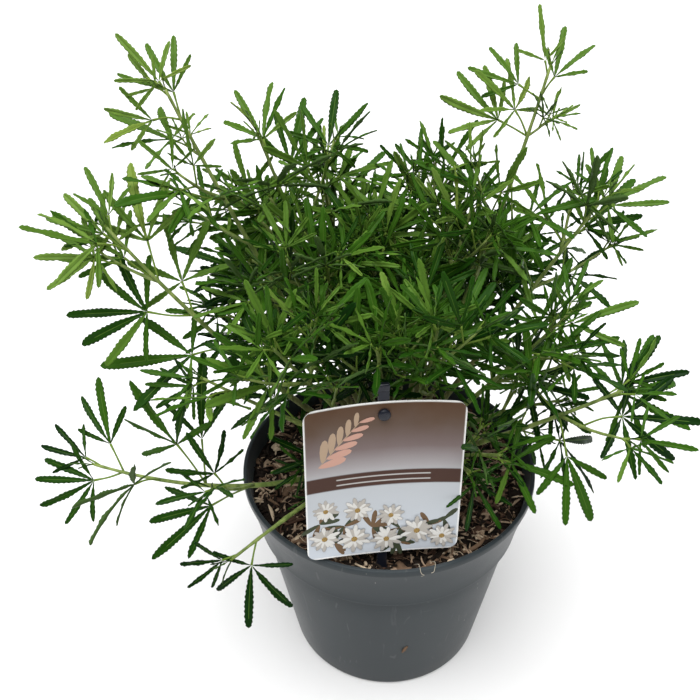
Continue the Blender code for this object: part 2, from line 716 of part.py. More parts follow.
def leaf_outline(leaf):
    """The leaf laid flat, clockwise from its stalk's foot: the hub at the origin, its axis along Y."""
    half_stalk = PETIOLE_WIDTH / 2
    stalk = (leaf.hub - leaf.base).length + PETIOLE_ROOT
    count = min(leaf.count, SOLID_LEAFLETS)
    points = [(half_stalk, -stalk), (-half_stalk, -stalk), (-half_stalk, -NOTCH_RADIUS)]
    step = math.radians(2 * leaf.spread / (count - 1))
    for index in range(count):
        share = 2 * index / (count - 1) - 1
        angle = math.radians(leaf.spread * share)
        length = leaf.length * (1 - SIDE_SHARE * abs(share))
        half_width = LEAFLET_WIDTH / 2 * min(1, length / FULL_WIDTH_LENGTH)
        if index:
            points.append(polar(NOTCH_RADIUS, angle - step / 2))
        lean = math.atan2(half_width, LEAFLET_WIDEST * length)
        points.append(polar(LEAFLET_WIDEST * length, angle - lean))
        points.append(polar(length, angle))
        points.append(polar(LEAFLET_WIDEST * length, angle + lean))
    points.append((half_stalk, -NOTCH_RADIUS))
    return points


def polar(radius, angle):
    """A point at an angle from the Y axis, turning towards +X."""
    return (radius * math.sin(angle), radius * math.cos(angle))


def leaf_mesh(leaf, extra=0):
    """A leaf as one thin plate with its stalk, bent into place; extra makes it thicker."""
    curve = flat_outline("leaf", [leaf_outline(leaf)], LEAF_THICKNESS + 2 * extra)
    mesh = drawn(curve)
    side = leaf.axis.cross(leaf.face)
    stalk = leaf.base - leaf.hub
    for vertex in mesh.vertices:
        across, forward, depth = vertex.co
        if forward < -NOTCH_RADIUS - HAIR:
            spot = leaf.hub + stalk * (-forward / stalk.length)
        else:
            spot = leaf.hub + leaf.axis * forward
            spot -= leaf.face * (across * across + forward * forward) * LEAF_DROOP
        vertex.co = spot + side * across + leaf.face * depth
    return mesh


def drawn(curve):
    """The closed triangulated mesh of a curve."""
    guide = bpy.data.objects.new("guide", curve)
    bpy.context.scene.collection.objects.link(guide)
    mesh = finished(guide)
    bpy.data.objects.remove(guide)
    bpy.data.curves.remove(curve)
    shape = bmesh.new()
    shape.from_mesh(mesh)
    bmesh.ops.remove_doubles(shape, verts=shape.verts, dist=WELD)
    bmesh.ops.recalc_face_normals(shape, faces=shape.faces)
    bmesh.ops.triangulate(shape, faces=shape.faces)
    shape.to_mesh(mesh)
    shape.free()
    return mesh


def stem_mesh(stem, section, extra=0):
    """A three-sided tapering stem along its points."""
    curve = bpy.data.curves.new("stem", "CURVE")
    curve.dimensions = "3D"
    curve.bevel_mode = "OBJECT"
    curve.bevel_object = section
    curve.use_fill_caps = True
    fill_spline(curve, stem, extra)
    return drawn(curve)


def fill_spline(curve, stem, extra=0):
    spline = curve.splines.new("POLY")
    spline.points.add(len(stem.points) - 1)
    spline.use_smooth = True
    for index, point in enumerate(stem.points):
        share = index / (len(stem.points) - 1)
        spline.points[index].co = (*point, 1)
        spline.points[index].radius = (
            stem.start_radius + (stem.end_radius - stem.start_radius) * share + extra
        )


def three_sided_section(cutters):
    """The triangle that a stem is drawn through, a unit from its middle to its corners."""
    curve = bpy.data.curves.new("three_sides", "CURVE")
    curve.dimensions = "2D"
    spline = curve.splines.new("POLY")
    spline.points.add(2)
    for index, point in enumerate(spline.points):
        angle = math.radians(90 - 120 * index)
        point.co = (math.cos(angle), math.sin(angle), 0, 1)
    spline.use_cyclic_u = True
    section = bpy.data.objects.new("three_sides", curve)
    section.hide_render = True
    cutters.objects.link(section)
    return section


def tree_of(meshes):
    """One search tree over several meshes, in world space."""
    corners = []
    faces = []
    for mesh in meshes:
        offset = len(corners)
        corners += [vertex.co.copy() for vertex in mesh.vertices]
        faces += [[offset + index for index in face.vertices] for face in mesh.polygons]
    return BVHTree.FromPolygons(corners, faces)


def touches(tree, others):
    return any(tree.overlap(other) for other in others)


def choose(shoots, fixed, section):
    """For each mass, the stems and leaves that stay clear of all the others."""
    grown = {shoot.name: grow(shoot) for shoot in shoots}
    stems = {}
    for shoot in shoots:
        stem = grown[shoot.name][0]
        stems[shoot.name] = [stem_mesh(stem, section, CLEARANCE)]
    chosen = {}
    taken = {name: [tree_of(meshes)] for name, meshes in stems.items()}
    for shoot in shoots:
        stem, leaves, twigs = grown[shoot.name]
        others = fixed + [tree for name in taken if name != shoot.name for tree in taken[name]]
        kept_stems = [stem]
        candidates = [(leaf.rank, index, leaf, None) for index, leaf in enumerate(leaves)]
        for index, (twig, twig_leaves) in enumerate(twigs):
            for leaf in twig_leaves:
                candidates.append((leaf.rank + TWIG_RANK, index, leaf, twig))
        candidates.sort(key=lambda row: (row[0] > FAN_RANK, abs(row[0] - MIDDLE_RANK), row[1]))
        kept = []
        for _, _, leaf, twig in candidates:
            if len(kept) == shoot.leaves:
                break
            if twig is not None and twig not in kept_stems:
                if touches(tree_of([stem_mesh(twig, section, CLEARANCE)]), others):
                    continue
            if touches(tree_of([leaf_mesh(leaf, CLEARANCE)]), others):
                continue
            kept.append(leaf)
            if twig is not None and twig not in kept_stems:
                kept_stems.append(twig)
        chosen[shoot.name] = (kept_stems, kept)
        solid = [stem_mesh(each, section) for each in kept_stems]
        solid += [leaf_mesh(leaf) for leaf in kept]
        taken[shoot.name] = [tree_of(solid)]
    return chosen


def make_mass(name, stems, leaves, section, surface, collection):
    """Fuses the twigs and leaves of a mass onto its stem."""
    pieces = bpy.data.collections.new(name + "_pieces")
    bpy.context.scene.collection.children.link(pieces)
    for stem in stems[1:]:
        pieces.objects.link(bpy.data.objects.new(name + "_twig", stem_mesh(stem, section)))
    for leaf in leaves:
        pieces.objects.link(bpy.data.objects.new(name + "_leaf", leaf_mesh(leaf)))
    made = place(name, stem_mesh(stems[0], section), surface, collection)
    fuse = made.modifiers.new("fuse", "BOOLEAN")
    fuse.operation = "UNION"
    fuse.operand_type = "COLLECTION"
    fuse.collection = pieces
    fuse.solver = "MANIFOLD"
    made.modifiers.new("triangles", "TRIANGULATE")
    slivers = made.modifiers.new("slivers", "DECIMATE")
    slivers.ratio = KEPT_TRIANGLES
    mesh = finished(made)
    made.modifiers.clear()
    made.data = mesh
    mesh.materials.clear()
    mesh.materials.append(surface)
    for piece in list(pieces.objects):
        bpy.data.objects.remove(piece)
    bpy.data.collections.remove(pieces)
    return made


def make_bough(shoot, surface, collection):
    """A bare tapering limb, from beside the foot to just short of its mass."""
    points = path_points(shoot, 0, shoot.bare, BOUGH_STEPS)
    last = (points[-1] - points[-2]).normalized()
    points[-1] = points[-1] - last * GAP
    curve = bpy.data.curves.new("bough_" + shoot.name, "CURVE")
    curve.dimensions = "3D"
    curve.bevel_depth = 1
    curve.bevel_resolution = 1
    curve.use_fill_caps = True
    fill_spline(curve, Stem(points, BOUGH_RADIUS, BOUGH_END_RADIUS))
    return place("bough_" + shoot.name, curve, surface, collection)


STARTS = starts_on_foot(SHOOTS)
LIMBS = limb_segments(SHOOTS)
CARD_ORIGIN = np.array(CARD_MIDDLE)
CARD_AXES = np.array(card_frame().to_3x3())


def main():
    for obj in list(bpy.data.objects):
        bpy.data.objects.remove(obj, do_unlink=True)
    parts = bpy.data.collections.new("mexican_orange_blossom")
    cutters = bpy.data.collections.new("cutters")
    bpy.context.scene.collection.children.link(parts)
    bpy.context.scene.collection.children.link(cutters)

    pot = make_pot(parts)
    soil = make_soil(parts)
    foot = make_foot(parts)
    card = make_card(parts)
    stake = make_stake(parts, cutters, soil)
    section = three_sided_section(cutters)
    bark = bpy.data.materials["bark"]
    green = material("leaf_green", (0.060, 0.150, 0.030), 0.45)
    boughs = [make_bough(shoot, bark, parts) for shoot in SHOOTS]

    bpy.context.view_layer.update()
    fixed = []
    for obj in [pot, soil, foot, card, stake, *boughs]:
        mesh = finished(obj)
        mesh.transform(obj.matrix_world)
        fixed.append(tree_of([mesh]))
    chosen = choose(SHOOTS, fixed, section)
    for shoot in SHOOTS:
        stems, leaves = chosen[shoot.name]
        make_mass("mass_" + shoot.name, stems, leaves, section, green, parts)

    for cutter in cutters.objects:
        cutter.hide_render = True
        cutter.display_type = "WIRE"


main()
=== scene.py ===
"""Looks of the mexican orange blossom with narrow leaves in its grey nursery pot.

The growth rule below is the one that the solids were made by, carried to finer sprigs. Every
leaf, stem and bough grows from the same named shoots. Metres, +Z up, -Y towards the viewer.
"""

import math
import random
from collections import namedtuple

import bmesh
import bpy
import numpy as np
from mathutils import Matrix, Quaternion, Vector, noise


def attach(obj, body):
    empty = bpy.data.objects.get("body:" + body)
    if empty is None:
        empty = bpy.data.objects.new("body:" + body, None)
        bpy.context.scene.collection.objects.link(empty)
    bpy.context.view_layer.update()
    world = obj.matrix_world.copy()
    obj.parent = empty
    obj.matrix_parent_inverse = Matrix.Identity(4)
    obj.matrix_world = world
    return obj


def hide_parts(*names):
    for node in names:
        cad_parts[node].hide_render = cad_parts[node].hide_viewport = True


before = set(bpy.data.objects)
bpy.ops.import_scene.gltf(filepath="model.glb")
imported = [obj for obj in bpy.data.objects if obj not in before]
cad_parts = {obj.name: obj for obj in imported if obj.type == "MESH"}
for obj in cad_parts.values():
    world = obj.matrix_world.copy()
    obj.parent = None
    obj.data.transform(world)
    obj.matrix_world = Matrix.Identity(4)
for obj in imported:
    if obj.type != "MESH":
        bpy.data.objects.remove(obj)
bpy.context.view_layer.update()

BODY = "root"
UP = Vector((0, 0, 1))
GAP = 0.0003

# Pot
POT_HEIGHT = 0.150
RIM_RADIUS = 0.095
COLLAR_DEPTH = 0.039
COLLAR_FOOT_RADIUS = 0.0872
LEDGE = 0.0030
BASE_RADIUS = 0.0665
WALL = 0.0024
FLOOR = 0.003

# Soil
SOIL_TOP = 0.1375
SOIL_MOUND = 0.003

# Woody foot: (share of its height, radius) from the ground up, and the rings of boughs on it
FOOT_HEIGHT = 0.042
FOOT_OUTLINE = ((0, 0.0155), (0.08, 0.0130), (0.35, 0.0105), (0.92, 0.0085), (1, 0.0065))
RING_LEVELS = (0.30, 0.56, 0.82)

# Label card on its stake
CARD_WIDTH = 0.087
CARD_HEIGHT = 0.102
CARD_THICKNESS = 0.0006
CARD_CORNER = 0.006
CARD_MIDDLE = Vector((-0.007, -0.0815, 0.1525))
CARD_LEAN = math.radians(7)
CARD_YAW = math.radians(7)
CARD_ROLL = math.radians(-1)
CARD_BEND_TOP = 0.006
CARD_BEND_FOOT = 0.002
CARD_HOLE_RADIUS = 0.0022
CARD_HOLE_DROP = 0.0075
STAKE_WIDTH = 0.006
STAKE_THICKNESS = 0.0028
STAKE_DEPTH = 0.026
STAKE_RISE = 0.010
BUTTON_RADIUS = 0.0034
BUTTON_THICKNESS = 0.0022

# Stems and boughs
BOUGH_RADIUS = 0.0023
BOUGH_STEPS = 5
STEM_STEPS = 5

# Leaves: the distances of the leaf pairs from the tip of their stem, then, for each pair from
# the tip down, the petiole's length, its angle to the stem, and the length of a leaflet
PAIR_PLACES = (0.004, 0.017, 0.038, 0.064, 0.093, 0.124, 0.156)
PETIOLES = (0.009, 0.016, 0.021, 0.024, 0.026, 0.026, 0.026)
PETIOLE_ANGLES = (24, 40, 50, 56, 60, 62, 64)
LEAFLETS = (0.029, 0.038, 0.043, 0.045, 0.046, 0.045, 0.044)
FULL_WIDTH_LENGTH = 0.047
LEAFLET_COUNTS = (5, 5, 5, 6, 7)
TIP_LEAFLET_COUNTS = (3, 4, 5)
# How much shorter the outermost leaflet is, how a leaflet bends down, and how wide a fan is
SIDE_SHARE = 0.36
LEAF_DROOP = 2.2
FAN_ANGLE = 26
FAN_ANGLE_EACH = 13
# How much a leaf's angle, roll, length, rise and facing differ from leaf to leaf
PETIOLE_PLAY = 8
ROLL_PLAY = 12
PETIOLE_SHARES = (0.8, 1.15)
LENGTH_SHARES = (0.88, 1.12)
FAN_SHARES = (0.9, 1.1)
PETIOLE_RISES = (0, 0.25)
AXIS_RISES = (-0.25, 0.2)
FACE_ALONG = 0.4
FACE_LIGHT = Vector((0, -0.42, 0.62))
FACE_PLAY = 0.26
TWIG_PLACES = (0.003, 0.014, 0.030, 0.050)
TWIG_SCALE = 0.86
TWIG_LENGTHS = (0.034, 0.062)
TWIG_ANGLE = 42
TWIG_PLAY = 20
TWIG_RISE = 0.18
TWIG_SAG = 0.05
TOP_TWIG_SHARE = 0.75
# The first pair that may have a twig in its axil, counted from the tip
FIRST_TWIG_PAIR = 2
END_CLEARANCE = 0.003
# A leaf keeps this far from bare limbs, from the pot and soil, and out of the sight of the card
LIMB_DISTANCE = 0.0028
POT_DISTANCE = 0.002
CARD_CLEAR_LEFT = -0.043
CARD_CLEAR_RIGHT = 0.026
CARD_CLEAR_TOP = 0.100
SIGHT_SLOPE = 0.78
BEHIND_CARD = 0.012
# The shares of a petiole and of a leaflet that are tested for what they would touch
PETIOLE_TESTS = (0.5, 1)
LEAFLET_TESTS = (0.3, 0.55, 0.8, 1)
# A level side shorter than this is taken from a stem that stands upright
UPRIGHT_SIDE = 0.05

Shoot = namedtuple("Shoot", "name azimuth reach height bow swing bare twigs full size droop")
# azimuth in degrees, reach and height of the tip in metres; bow and swing bend the shoot upward
# and sideways; bare is the share that is bough; twigs is the number of side twigs; full is the
# share of the leaves that hasn't dropped; size scales its leaves, and droop lets them hang
SHOOTS = (
    Shoot("upper_left", 170, 0.120, 0.390, -0.010, 0.010, 0.42, 2, 0.7, 0.95, 0),
    Shoot("left", -170, 0.150, 0.335, -0.005, 0.035, 0.36, 1, 0.6, 1.05, 0.05),
    Shoot("left_low", -155, 0.115, 0.255, 0.005, 0.020, 0.40, 0, 0.5, 1.00, 0.15),
    Shoot("left_arch", -160, 0.180, 0.205, 0.000, 0.050, 0.30, 1, 0.6, 1.10, 0.2),
    Shoot("over_rim", -135, 0.130, 0.160, 0.020, 0.010, 0.45, 0, 0.6, 1.10, 0.4),
    Shoot("left_front", -125, 0.085, 0.185, 0.010, 0.005, 0.42, 3, 0.9, 1.00, 0.3),
    Shoot("top_left", 150, 0.085, 0.355, -0.010, 0.000, 0.45, 4, 0.7, 1.00, 0),
    Shoot("top_inner", 165, 0.070, 0.330, -0.005, -0.010, 0.45, 3, 0.7, 1.00, 0),
    Shoot("top_middle", 115, 0.090, 0.320, -0.010, 0.010, 0.42, 4, 0.7, 0.95, 0),
    Shoot("top_right", 70, 0.090, 0.320, -0.010, -0.005, 0.42, 4, 0.7, 0.95, 0),
    Shoot("tall_right", 30, 0.100, 0.390, -0.020, -0.010, 0.42, 2, 0.8, 0.90, 0),
    Shoot("right_upper", 10, 0.120, 0.325, -0.010, 0.005, 0.42, 2, 0.7, 1.00, 0),
    Shoot("right_middle", -15, 0.100, 0.280, -0.005, -0.005, 0.40, 2, 0.7, 0.95, 0),
    Shoot("right_low", -25, 0.135, 0.250, 0.005, -0.020, 0.42, 1, 0.6, 1.10, 0.2),
    Shoot("right_front", -50, 0.090, 0.215, 0.005, 0.005, 0.42, 3, 0.9, 0.95, 0.1),
    Shoot("centre_right", -70, 0.060, 0.290, -0.005, 0.005, 0.32, 4, 0.9, 1.00, 0),
    Shoot("centre_front", -100, 0.060, 0.280, 0.000, 0.000, 0.34, 5, 0.9, 1.00, 0),
    Shoot("centre_left", -135, 0.090, 0.285, -0.005, 0.005, 0.32, 4, 0.9, 1.00, 0),
    Shoot("inner_left", -165, 0.060, 0.310, -0.005, -0.005, 0.32, 4, 0.9, 1.00, 0),
    Shoot("inner_right", 25, 0.050, 0.320, -0.005, 0.005, 0.32, 4, 0.9, 1.00, 0),
    Shoot("inner_top", 110, 0.030, 0.310, 0.000, 0.000, 0.30, 5, 0.9, 1.00, 0),
    Shoot("back_left", 140, 0.120, 0.260, 0.000, 0.010, 0.38, 4, 0.9, 1.00, 0),
    Shoot("back_right", 50, 0.125, 0.260, 0.000, -0.010, 0.38, 4, 0.9, 1.00, 0),
    Shoot("back", 95, 0.115, 0.270, -0.005, 0.005, 0.30, 4, 0.9, 1.00, 0),
    Shoot("back_low_left", 120, 0.140, 0.205, 0.010, -0.010, 0.36, 4, 0.9, 1.05, 0.15),
    Shoot("back_low_right", 70, 0.140, 0.205, 0.010, 0.010, 0.36, 4, 0.9, 1.05, 0.15),
    Shoot("side_right", -5, 0.105, 0.205, 0.005, 0.010, 0.38, 2, 0.7, 0.90, 0.3),
)

# The large leaves that shape the outline, seen flat from the label's side. pair counts the pairs
# of leaves down from the stem's tip, and clock is the way that the leaf points there, in degrees
# from the right. Each leaflet opens its leaf by FAN_OPENING degrees. FAN_RANK marks these leaves:
# it lies below the ranks of the pairs, which start at 0, and gives them the tint of rank 2
Fan = namedtuple("Fan", "shoot pair clock count")
FAN_OPENING = 12
FAN_PLAY = 0.3
FAN_RANK = -2
SIGHT_PITCH = math.radians(35)
SIGHT_UP = Vector((0, math.sin(SIGHT_PITCH), math.cos(SIGHT_PITCH)))
SIGHT_RIGHT = Vector((1, 0, 0))
FANS = (
    Fan("upper_left", 1, 105, 4),
    Fan("upper_left", 1, 180, 4),
    Fan("upper_left", 0, 145, 4),
    Fan("left", 1, 145, 4),
    Fan("left", 0, 100, 4),
    Fan("left", 2, 145, 5),
    Fan("left", 3, 175, 7),
    Fan("left", 2, 105, 5),
    Fan("left_low", 0, 195, 6),
    Fan("left_arch", 1, 115, 4),
    Fan("left_arch", 1, 195, 6),
    Fan("left_arch", 0, 150, 4),
    Fan("left_arch", 3, 95, 3),
    Fan("left_arch", 4, 205, 4),
    Fan("over_rim", 0, 200, 4),
    Fan("tall_right", 1, 145, 4),
    Fan("tall_right", 1, 55, 4),
    Fan("tall_right", 2, 150, 6),
    Fan("tall_right", 3, 270, 5),
    Fan("right_upper", 0, 85, 4),
    Fan("right_upper", 2, 45, 5),
    Fan("right_upper", 2, 130, 4),
    Fan("right_middle", 0, 70, 5),
    Fan("right_low", 0, 45, 5),
    Fan("right_low", 1, 30, 4),
    Fan("right_low", 2, 280, 4),
    Fan("right_low", 2, 130, 5),
    Fan("top_left", 1, 105, 6),
    Fan("top_left", 2, 80, 5),
    Fan("top_inner", 0, 100, 5),
    Fan("inner_left", 0, 100, 6),
    Fan("centre_right", 0, 100, 7),
)

Stem = namedtuple("Stem", "points start_radius end_radius")
Leaf = namedtuple("Leaf", "base hub axis face length count spread rank")


def pot_wall(inset):
    """Radius and height down the pot's wall, from the rim to the base, set in by inset."""
    collar_foot = POT_HEIGHT - COLLAR_DEPTH
    return [
        (RIM_RADIUS - inset, POT_HEIGHT),
        (COLLAR_FOOT_RADIUS - inset, collar_foot),
        (COLLAR_FOOT_RADIUS - LEDGE - inset, collar_foot - LEDGE),
        (BASE_RADIUS - inset, 0),
    ]


def wall_radius(height, inset):
    """Radius of the pot's wall at a height, set in by inset."""
    wall = pot_wall(inset)
    for (upper, top), (lower, bottom) in zip(wall, wall[1:]):
        if height >= bottom:
            return lower + (upper - lower) * (height - bottom) / (top - bottom)
    return wall[-1][0]


def foot_radius(share):
    """Radius of the foot at a share of its height."""
    for (low, wide), (high, narrow) in zip(FOOT_OUTLINE, FOOT_OUTLINE[1:]):
        if share <= high:
            return wide + (narrow - wide) * (share - low) / (high - low)
    return 0


# Finer look of the leaves
BLADE_WIDTH = 0.0060
TOOTH_SPACING = 0.0030
WIDTH_PLACES = (0, 0.08, 0.25, 0.45, 0.62, 0.80, 0.90, 0.96, 1)
WIDTH_SHARES = (0.13, 0.27, 0.62, 0.91, 1.0, 0.94, 0.80, 0.58, 0.20)
TOOTH_LOW = 0.89
TOOTH_HIGH = 1.10
TOOTH_PLAY = 0.02
FEWEST_TEETH = 5
# The first and last tooth, and the point beyond them, as shares of the leaflet's length
TOOTH_RUN = (0.045, 0.925)
TIP_PLACE = 0.975
LEAF_FOLD = 0.26
FOLD_SHARES = (0.4, 1.6)
CAMBER = 0.0003
RIB_SHARE = 0.055
# The share of a leaflet from its hub on which the rib is paler than the blade
RIB_RUN = 0.7
RIB_DEPTH = 0.00012
BLADE_DEPTH = 0.00045
# Points across the blade between its teeth: share of the half width, and depth
BLADE_COLUMNS = ((-0.55, -CAMBER), (-RIB_SHARE, RIB_DEPTH), (RIB_SHARE, RIB_DEPTH), (0.55, -CAMBER))
WAVE_HEIGHT = 0.00045
WAVES = 2.6
# How a leaflet differs from its neighbours: in degrees, then in radians, shares and chance
TURN_PLAY = 5
DIPS = (-4, 10)
LEAFLET_ROLL = 0.25
BENDS = (-0.05, 0.40)
SWAY = 0.06
TWIST = 0.35
LEAST_BEND = 0.001
LEAFLET_SHARES = (0.9, 1.06)
BREADTH_SHARES = (0.86, 1.12)
ODD_TINT_CHANCE = 0.2
STALK_RISES = (-0.05, 0.10)
# A short leaf is slim: its breadth is this share and its length over the next
LEAST_BREADTH = 0.45
BREADTH_LENGTH = 0.060
STALK_RADIUS = 0.00065
STALK_END_RADIUS = 0.00045
# A narrow leaf's stalk is thinner: the share that it keeps, and what its breadth adds
STALK_SHARES = (0.6, 0.4)
STALK_SIDES = 5
STALK_STEPS = 3
HUB_SWELL = 1.7
GREEN_RADIUS = 0.00165
GREEN_TIP_RADIUS = 0.00075
TWIG_LOOK_RADIUS = 0.0011
TWIG_TIP_RADIUS = 0.0006
STEM_SIDES = 8
SPRIG_CHANCE = 0.15
SPRIG_LENGTHS = (0.007, 0.018)
SPRIG_RADIUS = 0.0007
SPRIG_TIP_RADIUS = SPRIG_RADIUS * 0.7
SPRIG_CLEARANCE = 0.004
SPRIG_PLAY = 25
SPRIG_OUT = (0.5, 0.9)
SPRIG_RISE = 0.15
SPRIG_SAG = 0.04
SPRIG_SCALES = (0.42, 0.66)
SPRIG_PLACES = (0.001, 0.006)
YOUNG_LENGTHS = (0.007, 0.014)
YOUNG_LEAVES = 3
YOUNG_OUT = 0.35
YOUNG_IN = 0.8
YOUNG_UP = 0.3
YOUNG_STALK = 0.0015
# How a stem swells at its leaves, how uneven it is, and how far it laps its bough
KNOT_SWELL = 0.22
KNOT_REACH = 0.0022
STEM_WOBBLE = 0.05
STEM_LAP = 0.01
BOUGH_LAP = 0.012

# Where a leaf counts as high up or far out, for its tint and its painted shade
CROWN_HEIGHT = 0.27
CROWN_RADIUS = 0.18

# Colours of the leaves, from dark and low to bright and high: partly their age, and partly painted shade on
# low and inner leaves and painted light on high ones
TINTS = (
    ("deep", (0.004, 0.022, 0.002)),
    ("dark", (0.011, 0.044, 0.003)),
    ("middle", (0.028, 0.084, 0.006)),
    ("fresh", (0.068, 0.142, 0.017)),
    ("bright", (0.110, 0.195, 0.030)),
    ("yellowish", (0.150, 0.225, 0.036)),
)
RIB_COLOUR = (0.066, 0.132, 0.018)
UNDER_COLOUR = (0.046, 0.088, 0.022)
STALK_COLOUR = (0.12, 0.19, 0.030)
LEAF_GLOSS = 0.38
LEAF_SHINE = 0.05
# How a leaf's tint rises with its height and reach, partly with age and partly as painted light high up and
# painted shade low and inside, sinks from the tip down, and varies
TINT_BASE = 0.1
TINT_AND_PAINTED_LIGHT_RISE = 4.1
TINT_AND_PAINTED_SHADE_REACH = 0.4
TINT_FALL = 0.2
TINT_PLAY = 0.55
GREEN_STEM_DARK = (0.10, 0.15, 0.035)
GREEN_STEM_LIGHT = (0.20, 0.26, 0.07)
YOUNG_BARK_DARK = (0.075, 0.085, 0.028)
YOUNG_BARK_LIGHT = (0.16, 0.17, 0.06)
WOOD_DARK = (0.06, 0.042, 0.024)
WOOD_LIGHT = (0.15, 0.11, 0.065)

# Parts of the crown, each one joined piece
CROWN_PARTS = (
    ("left", ("upper_left", "left", "left_low", "left_arch", "over_rim", "left_front")),
    ("top_left", ("top_left", "top_inner", "top_middle")),
    ("top_right", ("top_right", "tall_right", "right_upper")),
    ("right", ("right_middle", "right_low", "right_front", "side_right")),
    ("front", ("centre_right", "centre_front", "centre_left")),
    ("inner", ("inner_left", "inner_right", "inner_top")),
    ("back", ("back_left", "back_right", "back", "back_low_left", "back_low_right")),
)

# Finer look of the wood, the pot and the soil
BOUGH_LOOK_RADIUS = 0.0021
BOUGH_SIDES = 14
SCAR_PLACES = (0.3, 0.55, 0.8)
SCAR_PLAY = 0.05
SCAR_SWELL = 0.16
SCAR_REACH = 0.022
# How much wider a bough is where it leaves the foot, on what share of it, and its root within
COLLAR_SWELL = 1.18
COLLAR_RUN = 0.08
BOUGH_ROOT = 0.25
FOOT_SINK = 0.002
FOOT_FLARE = 1.04
NEAR_AXIS = 0.001
# Ribs of the foot by their depth, number round it and pitch up it, and the flakes over them
FOOT_RIBS = ((0.05, 5, 60), (0.035, 11, -140))
FOOT_RIB_SHARE = 0.8
FOOT_FILL = 0.97
FLAKE_DEPTH = 0.10
FLAKE_PITCH = 260
# Bark of the boughs by its depth and its pitch round and along them
BROAD_BARK = (0.11, 1.6, 9)
FINE_BARK = (0.05, 5, 46)
FOOT_RINGS = 30
FOOT_LOOK_STEPS = 48
POT_LOOK_STEPS = 160
FOOT_ROUND = 0.004
FOOT_RECESS = 0.0015
RECESS_SHARES = (0.72, 0.76)
POT_WAVER = 0.00035
GROOVE_DEPTH = 0.0004
GROOVE_RUN = 0.006
COLLAR_BEAD = 0.0004
GROOVE_ROUND = 0.0006
BEAD_ROUND = 0.0004
# Points under and over the bead: their distances, and their shares of the groove and the bead
BEAD_RISES = (0.0002, 0.0016, 0.0030)
UNDER_BEAD_SHARE = 0.6
OVER_BEAD_SHARE = 0.6
# The rolled lip: points under it, out from the rim and down, then its reach and its two rounds
LIP_POINTS = ((0.0001, 0.0046), (0.0004, 0.0038))
LIP_OUT = 0.0002
LIP_ROUNDS = (0.0010, 0.0009)
SOIL_EDGE_RADIUS = wall_radius(SOIL_TOP, WALL + GAP)
SOIL_SINK = 0.0006
# Lumps by their pitch a metre, layer of the noise and height, and how much the wall levels them
SOIL_LUMPS = ((90, 0, 0.0016), (260, 4, 0.0009))
LUMP_FADE = 0.3
# What lies less than this under the level of the soil is its top
TOP_DEPTH = 0.0005
SOIL_RINGS = 40
SOIL_LOOK_STEPS = 120
FIBRES = 260
FIBRE_FIELD = 0.92
FIBRE_POINTS = 5
FIBRE_RISES = (0.0012, 0.0034)
FIBRE_STEPS = (0.0018, 0.0042)
FIBRE_TURN = 0.8
FIBRE_RADII = (0.00012, 0.0003)
FIBRE_LIMIT = RIM_RADIUS - WALL - 0.002
# Kinds of chips: how many, and their lengths, widths, depths and tilt
CHIP_KINDS = (
    (1500, (0.004, 0.011), (0.0007, 0.0018), (0.0004, 0.0010), 0.22),
    (520, (0.010, 0.019), (0.0010, 0.0024), (0.0006, 0.0013), 0.16),
    (300, (0.006, 0.013), (0.0030, 0.0060), (0.0006, 0.0014), 0.14),
    (900, (0.0015, 0.004), (0.0008, 0.0022), (0.0006, 0.0014), 0.4),
)
CHIP_COLOURS = (
    (0.36, 0.26, 0.18),
    (0.15, 0.095, 0.060),
    (0.065, 0.036, 0.024),
    (0.016, 0.011, 0.008),
    (0.52, 0.41, 0.29),
)
CHIP_SHARES = (4, 3, 4, 9, 1.4)
# A chip's shape: its bend, the places along it, and how it tapers, roughly, to its ends
CHIP_BEND = 0.12
CHIP_PLACES = (-1, -0.55, 0, 0.5, 1)
CHIP_TAPER = 0.55
CHIP_POWER = 2.5
CHIP_TAPER_PLAY = (0.5, 1.4)
CHIP_END = 0.2
CHIP_JITTER = 0.25
# Where chips lie: within this share of the soil, clear of the wall and the foot, and propped up
CHIP_FIELD = 0.985
CHIP_INSET = 0.32
CHIP_LIMIT = RIM_RADIUS - WALL - 0.0012
FOOT_MARGIN = 0.001
CHIP_LEAN = 0.3
CHIP_BASE = 0.2
CHIP_PROP = 0.22
CHIP_RISE = 0.0016
# A small heap of slivers where the label's stake goes in: across, towards the front, reach
HEAP_PLACE = (-0.009, -0.0865)
HEAP_REACH = 0.009
HEAP_RISE = 0.0075
HEAP_CHIPS = 120
HEAP_SPREAD = 0.45
HEAP_TILT = 0.2
HEAP_LENGTHS = (0.004, 0.010)
HEAP_WIDTH = 0.0016
HEAP_DEPTH = 0.0008
# The heap's chips stay this far under the card's edge and from the stake, which runs behind it
CARD_MARGIN = 0.0012
STAKE_MARGIN = 0.0008
STAKE_RUN = (-0.001, 0.0045)
SOIL_DARK = (0.004, 0.0035, 0.003)
SOIL_BROWN = (0.020, 0.013, 0.009)
FIBRE_PALE = (0.42, 0.38, 0.30)
RIM_FIBRES = ((-82, 0.003, 0.0045), (-76, -0.003, 0.003))
STUCK_CHIP_AZIMUTH = -83
STUCK_CHIP_HEIGHT = 0.050
STUCK_CHIP_LIFT = 0.0005
STUCK_CHIP_SLOPE = 0.85
STUCK_CHIP_SIZE = (0.0068, 0.0020, 0.0011)
# A hanging fibre: its root, in from the rim and up from the soil, then its points by their way
# beyond the rim, aside, share of the reach, fall from the rim and share of the length
HANG_ROOT = (0.012, 0.004)
HANG_LIFT = 0.0006
HANG_POINTS = (
    (-0.004, 0.001, 0, 0, 0),
    (0.0014, 0, 0.4, 0.001, 0),
    (0.0016, 0, 1, 0, 0.6),
    (0.0008, 0, 0.5, 0, 1),
)
HANG_RADII = (0.0002, 0.0001)
POT_GREY = (0.029, 0.036, 0.040)
POT_DUSTY = (0.044, 0.052, 0.056)
POT_SCRATCH = (0.095, 0.102, 0.104)
POT_SPECK = (0.55, 0.53, 0.48)
POT_SHINE = 0.08
POT_BLOOM = 0.10
STAKE_BLACK = (0.010, 0.012, 0.020)

